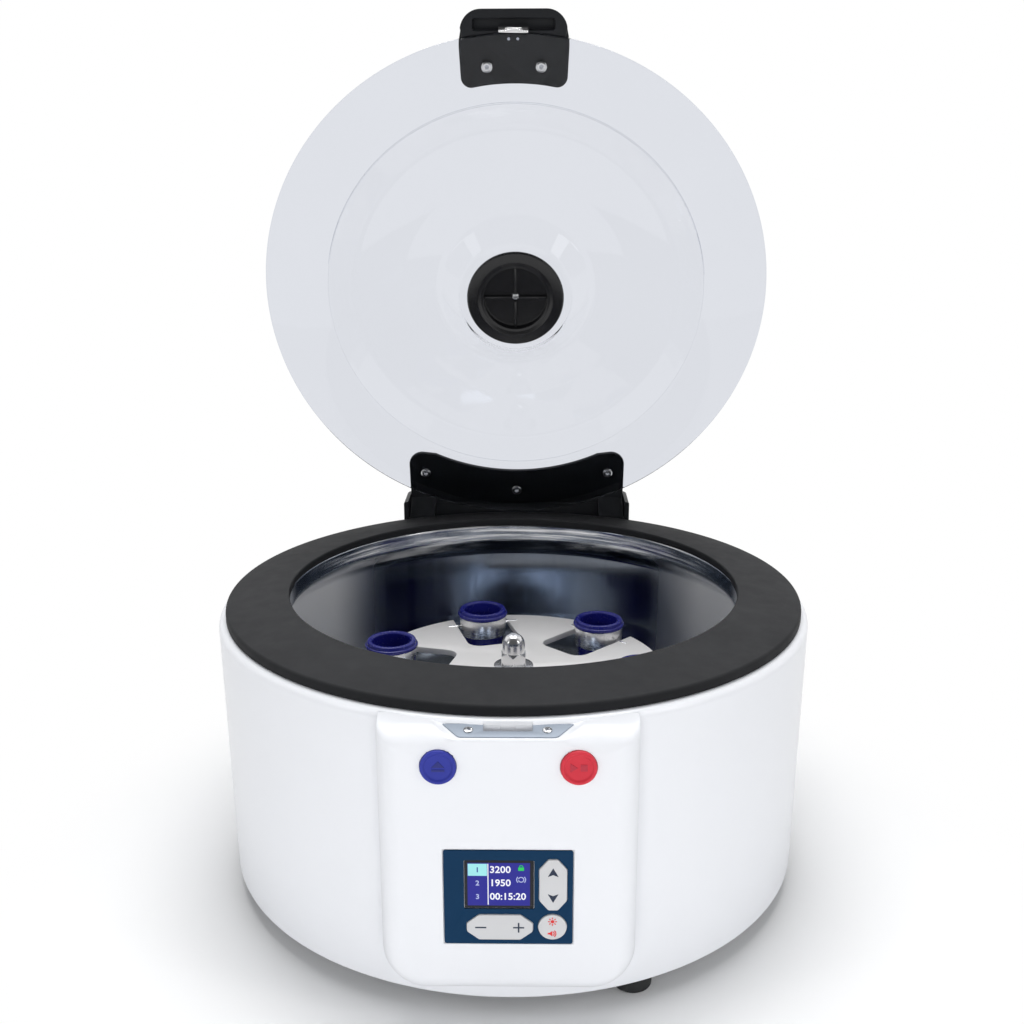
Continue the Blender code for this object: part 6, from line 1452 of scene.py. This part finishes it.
def button_mesh(name, place):
    """Round button: flat sunk face, a slope up to the rim's crest, a rounded shoulder and the side wall."""
    outline = [
        (0, BUTTON_PROUD - 0.0011), (0.0082, BUTTON_PROUD - 0.0011), (0.0093, BUTTON_PROUD),
        (BUTTON_RADIUS, BUTTON_PROUD - 0.0001), (BUTTON_RADIUS, -0.0078), (0, -0.0078),
    ]
    return turned(name, rounded(outline, [0, 0.0012, 0.0007, 0.0012, 0.0002, 0], 5), 96, place=place)


def make_buttons():
    """The two buttons with plain raised signs: a triangle over a bar, and a triangle beside a square."""
    face = BUTTON_PROUD - 0.0011
    lift = [
        np.array([(-0.0040, -0.0002), (0.0040, -0.0002), (0, 0.0040)]),
        rectangle(-0.0040, 0.0040, -0.0030, -0.0014, 0.0003),
    ]
    run = [
        np.array([(-0.0052, -0.0030), (-0.0006, 0), (-0.0052, 0.0030)]),
        rectangle(0.0010, 0.0052, -0.0022, 0.0022, 0.0003),
    ]
    parts = (
        ("open_button", lift, BUTTON_BLUE, BUTTON_BLUE_INK),
        ("start_stop_button", run, BUTTON_RED, BUTTON_RED_INK),
    )
    for middle, (name, shapes, finish, sign_finish) in zip(BUTTON_MIDDLES, parts):
        place = Matrix.Translation((middle, -PANEL_FACE, BUTTON_Z)) @ Matrix.Rotation(math.pi / 2, 4, "X")
        add_piece(name + "_cap", button_mesh(name, place), finish, name, [name])
        signs = [slab("sign", shape, face - 0.0003, face + 0.00025, 0.0001, place) for shape in shapes]
        add_piece(name + "_sign", merged("sign", signs), sign_finish, name)


def hexagon_key(half_width, half_height, shoulder, tip, upright, grow=0.0):
    """Six-sided key outline: straight long sides, slanted ends with a short flat tip."""
    w, h = half_width + grow, half_height + grow
    if upright:
        right = [(tip, -h), (w, -shoulder), (w, shoulder), (tip, h)]
    else:
        right = [(shoulder, -h), (w, -tip), (w, tip), (shoulder, h)]
    left = [(-u, v) for u, v in reversed(right)]
    return rounded(right + left, [0.0020] * 8, 6)


def make_keypad():
    """Navy plate, three keys with their signs, and the display behind its window."""
    up_down = hexagon_key(0.0086, 0.0178, 0.0110, 0.0030, True)
    minus_plus = hexagon_key(0.0207, 0.0089, 0.0130, 0.0030, False)
    holes = [
        hexagon_key(0.0086, 0.0178, 0.0110, 0.0030, True, GAP) + (0.0279, 0.1082),
        hexagon_key(0.0207, 0.0089, 0.0130, 0.0030, False, GAP) + (-0.0054, 0.0781),
        circle(0.0276, 0.0784, 0.0089 + GAP),
        rectangle(
            WINDOW_X - WINDOW_HALF_WIDTH - GAP, WINDOW_X + WINDOW_HALF_WIDTH + GAP,
            WINDOW_Z - WINDOW_HALF_HEIGHT - GAP, WINDOW_Z + WINDOW_HALF_HEIGHT + GAP, 0.0008,
        ),
    ]
    plate = rectangle(-KEYPAD_HALF_WIDTH, KEYPAD_HALF_WIDTH, KEYPAD_BOTTOM, KEYPAD_TOP, 0.0015)
    overlay = holed_plate("overlay", [plate, *holes], PANEL_FACE - 0.0010, PANEL_FACE, 0.00015, FRONT_VIEW)
    add_piece("keypad_plate", overlay, NAVY, "base", ["keypad_overlay"])
    high = PANEL_FACE + KEY_PROUD
    keys = (
        ("up_down_key", up_down + (0.0279, 0.1082)),
        ("minus_plus_key", minus_plus + (-0.0054, 0.0781)),
        ("settings_key", circle(0.0276, 0.0784, 0.0089)),
    )
    for name, outline in keys:
        add_piece(
            name + "_cap", slab(name, outline, PANEL_FACE - 0.0042, high, 0.0006, FRONT_VIEW, 4), KEY_GREY,
            name, [name],
        )
    draw_key_signs(high)
    make_display()


def printed(name, outlines, level, finish, body):
    """Signs printed on a face: thin slabs standing a hair above it."""
    prints = [slab("print", np.asarray(outline, float), level, level + 0.00006, 0.00001, FRONT_VIEW, 1)
        for outline in outlines]
    return add_piece(name, merged(name, prints), finish, body)


def draw_key_signs(level):
    """Arrow heads, minus, plus, a sun and a loudspeaker."""
    x, z = 0.0279, 0.1082
    up = [(x - 0.0034, z + 0.0060), (x, z + 0.0074), (x + 0.0034, z + 0.0060), (x, z + 0.0122)]
    down = [(u, 2 * z - v) for u, v in up][::-1]
    printed("arrow_signs", [up, down], level, DARK_INK, "up_down_key")
    x, z = -0.0054, 0.0781
    minus = rectangle(x - 0.0155, x - 0.0085, z - 0.0005, z + 0.0005, 0.0001)
    plus_across = rectangle(x + 0.0083, x + 0.0153, z - 0.0005, z + 0.0005, 0.0001)
    plus_low = rectangle(x + 0.0113, x + 0.0123, z - 0.0035, z - 0.0005, 0.0001)
    plus_high = rectangle(x + 0.0113, x + 0.0123, z + 0.0005, z + 0.0035, 0.0001)
    printed("minus_plus_signs", [minus, plus_across, plus_low, plus_high], level, DARK_INK, "minus_plus_key")
    x, z = 0.0276, 0.0784
    sun = [circle(x, z + 0.0042, 0.0012, 24)]
    for ray in range(8):
        turn = ray * math.pi / 4
        ahead, across = np.array([math.cos(turn), math.sin(turn)]), np.array(
            [-math.sin(turn), math.cos(turn)]
        )
        middle = np.array([x, z + 0.0042])
        sun.append([middle + ahead * a + across * b
            for a, b in ((0.0017, -0.0004), (0.0029, -0.0003), (0.0029, 0.0003), (0.0017, 0.0004))])
    speaker = [
        (x - 0.0030, z - 0.0050), (x - 0.0018, z - 0.0050), (x, z - 0.0064), (x, z - 0.0024),
        (x - 0.0018, z - 0.0038), (x - 0.0030, z - 0.0038),
    ]
    waves = [arc_band(x - 0.0006, z - 0.0044, radius, 0.00035, 0.9) for radius in (0.0017, 0.0028)]
    printed("settings_signs", [*sun, speaker, *waves], level, RED_INK, "settings_key")


def arc_band(x, z, radius, half_width, reach):
    """A band along an arc that opens to the right, between radius minus and plus its half width."""
    turn = np.linspace(-reach, reach, 13)
    outer = np.stack([x + (radius + half_width) * np.cos(turn), z + (radius + half_width) * np.sin(turn)], -1)
    inner = np.stack([x + (radius - half_width) * np.cos(turn), z + (radius - half_width) * np.sin(turn)], -1)
    return np.concatenate([outer, inner[::-1]])


def number_mesh(text, x, z, height, level):
    """Digits as a mesh, from a text object that is used up."""
    curve = bpy.data.curves.new("digits", "FONT")
    curve.body = text
    curve.size = height
    curve.extrude = 0.00003
    curve.offset = 0.00012
    curve.resolution_u = 3
    writer = bpy.data.objects.new("digits", curve)
    bpy.context.scene.collection.objects.link(writer)
    mesh = bpy.data.meshes.new_from_object(writer.evaluated_get(bpy.context.evaluated_depsgraph_get()))
    bpy.data.objects.remove(writer)
    mesh.transform(FRONT_VIEW @ Matrix.Translation((x, z, level)))
    return mesh


def make_display():
    """Display: black frame, lit blue screen with plain numbers, a lit cell, a padlock and a ring."""
    face = PANEL_FACE - 0.0004
    frame_outline = rectangle(
        WINDOW_X - WINDOW_HALF_WIDTH, WINDOW_X + WINDOW_HALF_WIDTH, WINDOW_Z - WINDOW_HALF_HEIGHT,
        WINDOW_Z + WINDOW_HALF_HEIGHT, 0.0008,
    )
    add_piece(
        "display_frame", slab("frame", frame_outline, PANEL_FACE - 0.0024, face - 0.0003, 0.0002, FRONT_VIEW),
        WINDOW_BLACK, "base", ["display_window"],
    )
    left, right = WINDOW_X - 0.0197, WINDOW_X + 0.0192
    low, high = WINDOW_Z - 0.0150, WINDOW_Z + 0.0150
    level = face - 0.00028
    printed("screen", [rectangle(left, right, low, high, 0.0002)], level, SCREEN_BLUE, "base")
    step = 0.00007
    divide = left + 0.0128
    printed(
        "screen_cell", [rectangle(left + 0.0003, divide - 0.0006, high - 0.0090, high - 0.0006, 0.0002)],
        level + step, SCREEN_CYAN, "base",
    )
    printed(
        "screen_line", [rectangle(divide - 0.0003, divide + 0.0003, low + 0.0006, high - 0.0006, 0.0001)],
        level + step, SCREEN_WHITE, "base",
    )
    rows = ((high - 0.0068, "3200", "1"), (high - 0.0161, "1950", "2"), (high - 0.0257, "00:15:20", "3"))
    digits, labels = [], []
    for z, text, label in rows:
        digits.append(number_mesh(text, divide + 0.0010, z, 0.0066, level + step * 2))
        labels.append(number_mesh(label, left + 0.0050, z + 0.0004, 0.0048, level + step * 2))
    add_piece("screen_numbers", merged("screen_numbers", digits), SCREEN_WHITE, "base")
    first = labels.pop(0)
    add_piece("screen_row_number", first, SCREEN_BLUE, "base")
    add_piece("screen_row_numbers", merged("screen_row_numbers", labels), SCREEN_GREY, "base")
    x, z = right - 0.0055, high - 0.0038
    body = rectangle(x - 0.0018, x + 0.0018, z - 0.0015, z + 0.0008, 0.0003)
    shackle_turn = np.linspace(0, math.pi, 13)
    outer = np.stack([x + 0.0013 * np.cos(shackle_turn), z + 0.0010 + 0.0014 * np.sin(shackle_turn)], -1)
    inner = np.stack([x + 0.0008 * np.cos(shackle_turn), z + 0.0010 + 0.0009 * np.sin(shackle_turn)], -1)
    printed(
        "screen_padlock", [body, np.concatenate([outer, inner[::-1]])], level + step * 2, SCREEN_GREEN,
        "base",
    )
    ring = [arc_band(x, z - 0.0078, 0.0017, 0.0003, 2.9), arc_band(x, z - 0.0078, 0.0028, 0.0003, 0.8)]
    ring.append(ring[1] * (-1, 1) + (2 * x, 0))
    printed("screen_ring", ring, level + step * 2, SCREEN_GREY, "base")


# Hinge block and back


def make_hinge_block():
    """Hinge block on the housing's back: a rounded block cut hollow for the bracket, with its two cheeks."""
    plan = rounded(
        [(-0.1055, 0.1980), (0.1055, 0.1980), (0.1055, 0.2452), (-0.1055, 0.2452)], [0, 0, 0.0080, 0.0080], 8,
    )
    block = slab("block", plan, 0.1500, 0.2350, 0.0015)
    room = turned("room", [(0, 0.26), (0.2259, 0.26), (0.2259, 0.12), (0, 0.12)], 256)
    pocket = box_mesh("pocket", (-0.1018, 0.15, 0.2055), (0.1018, 0.2418, 0.27))
    add_piece("hinge_block", carved(block, [room, pocket]), BLACK_PLASTIC, "base", ["hinge_base_block"], 40)
    for side, name in ((-1, "hinge_pin_left"), (1, "hinge_pin_right")):
        profile = rounded(
            [(0, 0.1052), (0.0025, 0.1052), (0.0025, 0.0783), (0, 0.0783)], [0, 0.0004, 0.0004, 0], 3,
        )
        place = Matrix.Translation((0, HINGE_Y, HINGE_Z)) @ Matrix.Rotation(side * math.pi / 2, 4, "Y")
        add_piece(name + "_fine", turned(name, profile, 32, place=place), SCREW_STEEL, "base", [name])


def make_inlet():
    """Mains inlet: flange, socket well with three pins, and the rocker switch with its two signs."""
    socket = rounded(
        [
            (-0.0015, 0.0515), (0.0235, 0.0515), (0.0235, 0.0650), (0.0200, 0.0685), (0.0020, 0.0685),
            (-0.0015, 0.0650),
        ],
        [0.0012] * 6,
    )
    switch_hole = rectangle(-0.0261, -0.0109, 0.0502, 0.0698, 0.0006)
    flange = holed_plate(
        "flange", [rectangle(-0.031, 0.031, 0.044, 0.076, 0.003), socket, switch_hole], 0.2322, 0.2351,
        0.0005, BACK_VIEW,
    )
    body = holed_plate(
        "body", [rectangle(-0.028, 0.028, 0.047, 0.073, 0.001), socket, switch_hole], 0.2180, 0.2323, 0.0002,
        BACK_VIEW,
    )
    floor = slab("floor", rectangle(-0.028, 0.028, 0.047, 0.073, 0.001), 0.2105, 0.2182, 0.0003, BACK_VIEW)
    pins = [
        slab(
            "pin", rectangle(u - 0.0010, u + 0.0010, z - 0.0022, z + 0.0022, 0.0003), 0.2175, 0.2300, 0.0004,
            BACK_VIEW,
        )
        for u, z in ((0.0040, 0.0580), (0.0110, 0.0625), (0.0180, 0.0580))
    ]
    add_piece(
        "mains_inlet", merged("mains_inlet", [flange, body, floor]), BLACK_PLASTIC, "base", ["power_inlet"],
    )
    add_piece("inlet_pins", merged("inlet_pins", pins), SCREW_STEEL, "base")
    lean = Matrix.Rotation(math.radians(6), 4, "X")
    pivot = Matrix.Translation((0, 0.2311, 0.0600)) @ lean @ Matrix.Translation(
        (0, -0.2311, -0.0600)
    )
    profile = rounded(
        [(0.2260, 0.0520), (0.2369, 0.0508), (0.2355, 0.0600), (0.2369, 0.0692), (0.2260, 0.0680)],
        [0, 0.0008, 0.02, 0.0008, 0], 6
    )
    rocker = slab("rocker", profile, 0.0122, 0.0248, 0.0005, pivot @ SIDE_VIEW)
    add_piece("rocker_switch", rocker, BLACK_PLASTIC, "power_rocker", ["power_switch"])
    bar = rectangle(-0.0189, -0.0181, 0.0637, 0.0677, 0.0002)
    ring = np.concatenate([circle(-0.0185, 0.0545, 0.0019, 32), circle(-0.0185, 0.0545, 0.0013, 32)[::-1]])
    signs = [
        slab("bar", bar, 0.23655, 0.23672, 0.00002, pivot @ BACK_VIEW, 1),
        holed_plate("ring", [ring[:32], ring[32:]], 0.23655, 0.23672, 0.00002, pivot @ BACK_VIEW),
    ]
    add_piece("switch_signs", merged("switch_signs", signs), KEY_GREY, "power_rocker")


def finish_cad_nodes():
    """Finishes for the nodes that keep the model's own shape."""
    finishes = {
        "base_plate": ZINC,
        "control_board": BOARD_GREEN,
        "motor_body": BLACK_PLASTIC,
        "motor_mount": ZINC,
        "motor_damper_1": FOOT_RUBBER,
        "motor_damper_2": FOOT_RUBBER,
        "motor_damper_3": FOOT_RUBBER,
        "lock_solenoid": COPPER,
        "solenoid_plunger": SCREW_STEEL,
        "lock_pawl": NUT_STEEL,
        "motor_shaft": SCREW_STEEL,
    }
    for node, finish in finishes.items():
        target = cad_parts[node]
        target.data.materials.clear()
        target.data.materials.append(finish)


# Camera, floor and light


LENS = 43.24  # mm
SENSOR_WIDTH = 36  # mm
CAMERA_PLACE = (0.0143, -0.911, 0.538)
CAMERA_YAW = 0.95  # degrees
CAMERA_FALL = 15.7  # degrees below level
CAMERA_ROLL = -0.2  # degrees


def make_camera():
    """The photograph's view: from in front and a little above."""
    camera = bpy.data.cameras.new("camera")
    camera.lens = LENS
    camera.sensor_width = SENSOR_WIDTH
    viewer = bpy.data.objects.new("camera", camera)
    bpy.context.scene.collection.objects.link(viewer)
    viewer.location = CAMERA_PLACE
    fall = Matrix.Rotation(math.radians(90 - CAMERA_FALL), 4, "X")
    turn = Matrix.Rotation(math.radians(CAMERA_YAW), 4, "Z") @ fall
    viewer.rotation_euler = (turn @ Matrix.Rotation(math.radians(CAMERA_ROLL), 4, "Z")).to_euler()
    bpy.context.scene.camera = viewer


AMBIENT_COLOUR = (0.93, 0.96, 1.0, 1)
AMBIENT_STRENGTH = 0.30
LAMP_TARGET = (0, 0, 0.2)
ROOM_DIMNESS = 0.10
LAMPS = (
    ("overhead_lamp", (0, 0.35, 2.2), 1.6, 1.0, 38.0),
    ("front_lamp", (0, -3.2, 0.75), 2.2, 0.9, 42.0),
    ("left_lamp", (-1.9, -1.1, 1.2), 0.35, 1.3, 4.0),
    ("right_lamp", (1.9, -1.1, 1.2), 0.35, 1.3, 6.0),
)


def make_light():
    """White backdrop all round for the eye, a dimmer room in front of it for reflections, and soft lamps."""
    world = bpy.data.worlds.new("studio")
    bpy.context.scene.world = world
    world.use_nodes = True
    tree = world.node_tree
    ambient = tree.nodes["Background"]
    ambient.inputs["Color"].default_value = AMBIENT_COLOUR
    ambient.inputs["Strength"].default_value = AMBIENT_STRENGTH
    rays = tree.nodes.new("ShaderNodeLightPath")
    white = tree.nodes.new("ShaderNodeBackground")
    white.inputs["Color"].default_value = (1, 1, 1, 1)
    way = tree.nodes.new("ShaderNodeSeparateXYZ")
    tree.links.new(tree.nodes.new("ShaderNodeTexCoord").outputs["Generated"], way.inputs[0])
    behind = tree.nodes.new("ShaderNodeMapRange")
    behind.interpolation_type = "SMOOTHSTEP"
    for label, value in (("From Min", -0.35), ("From Max", 0.25), ("To Min", ROOM_DIMNESS), ("To Max", 1.0)):
        behind.inputs[label].default_value = value
    tree.links.new(way.outputs["Y"], behind.inputs["Value"])
    eye = math_node(tree, "MAXIMUM", rays.outputs["Is Camera Ray"], rays.outputs["Is Transmission Ray"])
    tree.links.new(math_node(tree, "MAXIMUM", eye, behind.outputs["Result"]), white.inputs["Strength"])
    seen = math_node(tree, "MAXIMUM", eye, rays.outputs["Is Glossy Ray"])
    mix = tree.nodes.new("ShaderNodeMixShader")
    tree.links.new(seen, mix.inputs[0])
    tree.links.new(ambient.outputs[0], mix.inputs[1])
    tree.links.new(white.outputs[0], mix.inputs[2])
    tree.links.new(mix.outputs[0], tree.nodes["World Output"].inputs[0])
    for name, place, width, height, power in LAMPS:
        light = bpy.data.lights.new(name, "AREA")
        light.shape = "RECTANGLE"
        light.size, light.size_y = width, height
        light.energy = power
        lamp = bpy.data.objects.new(name, light)
        bpy.context.scene.collection.objects.link(lamp)
        lamp.location = place
        lamp.visible_glossy = name != "front_lamp"
        lamp.visible_transmission = False
        lamp.visible_camera = False
        lamp.rotation_euler = (Vector(LAMP_TARGET) - Vector(place)).to_track_quat("-Z", "Y").to_euler()


FLOOR_REACH = 6.0
FLOOR_COLOUR = (0.93, 0.93, 0.93, 1)
FADE_START = 0.24
FADE_END = 0.42


def make_floor():
    """Pale floor that fades into the white backdrop and keeps the object's shadow."""
    mesh = bpy.data.meshes.new("floor")
    reach = FLOOR_REACH
    mesh.from_pydata(
        [(-reach, -reach, 0), (reach, -reach, 0), (reach, reach, 0), (-reach, reach, 0)], [], [(0, 1, 2, 3)],
    )
    finish = bpy.data.materials.new("floor_white")
    finish.use_nodes = True
    tree = finish.node_tree
    shader = tree.nodes["Principled BSDF"]
    shader.inputs["Base Color"].default_value = FLOOR_COLOUR
    shader.inputs["Roughness"].default_value = 1.0
    shader.inputs["Specular IOR Level"].default_value = 0.0
    backdrop = tree.nodes.new("ShaderNodeEmission")
    backdrop.inputs["Color"].default_value = (1, 1, 1, 1)
    backdrop.inputs["Strength"].default_value = 1.0
    out = tree.nodes.new("ShaderNodeVectorMath")
    out.operation = "LENGTH"
    tree.links.new(tree.nodes.new("ShaderNodeTexCoord").outputs["Object"], out.inputs[0])
    fade = tree.nodes.new("ShaderNodeMapRange")
    fade.interpolation_type = "SMOOTHSTEP"
    for label, value in (("From Min", FADE_START), ("From Max", FADE_END)):
        fade.inputs[label].default_value = value
    tree.links.new(out.outputs["Value"], fade.inputs["Value"])
    rays = tree.nodes.new("ShaderNodeLightPath")
    eye = math_node(tree, "MAXIMUM", rays.outputs["Is Camera Ray"], rays.outputs["Is Transmission Ray"])
    seen = math_node(tree, "MAXIMUM", eye, rays.outputs["Is Glossy Ray"])
    mix = tree.nodes.new("ShaderNodeMixShader")
    tree.links.new(math_node(tree, "MULTIPLY", fade.outputs["Result"], seen), mix.inputs[0])
    tree.links.new(shader.outputs[0], mix.inputs[1])
    tree.links.new(backdrop.outputs[0], mix.inputs[2])
    tree.links.new(mix.outputs[0], tree.nodes["Material Output"].inputs[0])
    mesh.materials.append(finish)
    floor = bpy.data.objects.new("floor", mesh)
    bpy.context.scene.collection.objects.link(floor)


make_camera()
make_housing()
make_gasket()
make_bowl()
make_feet()
make_rotor()
make_buckets()
make_lid()
make_latch()
make_bracket()
make_lock()
make_buttons()
make_keypad()
make_hinge_block()
make_inlet()
finish_cad_nodes()
make_floor()
make_light()
bpy.context.scene.view_settings.view_transform = "Standard"
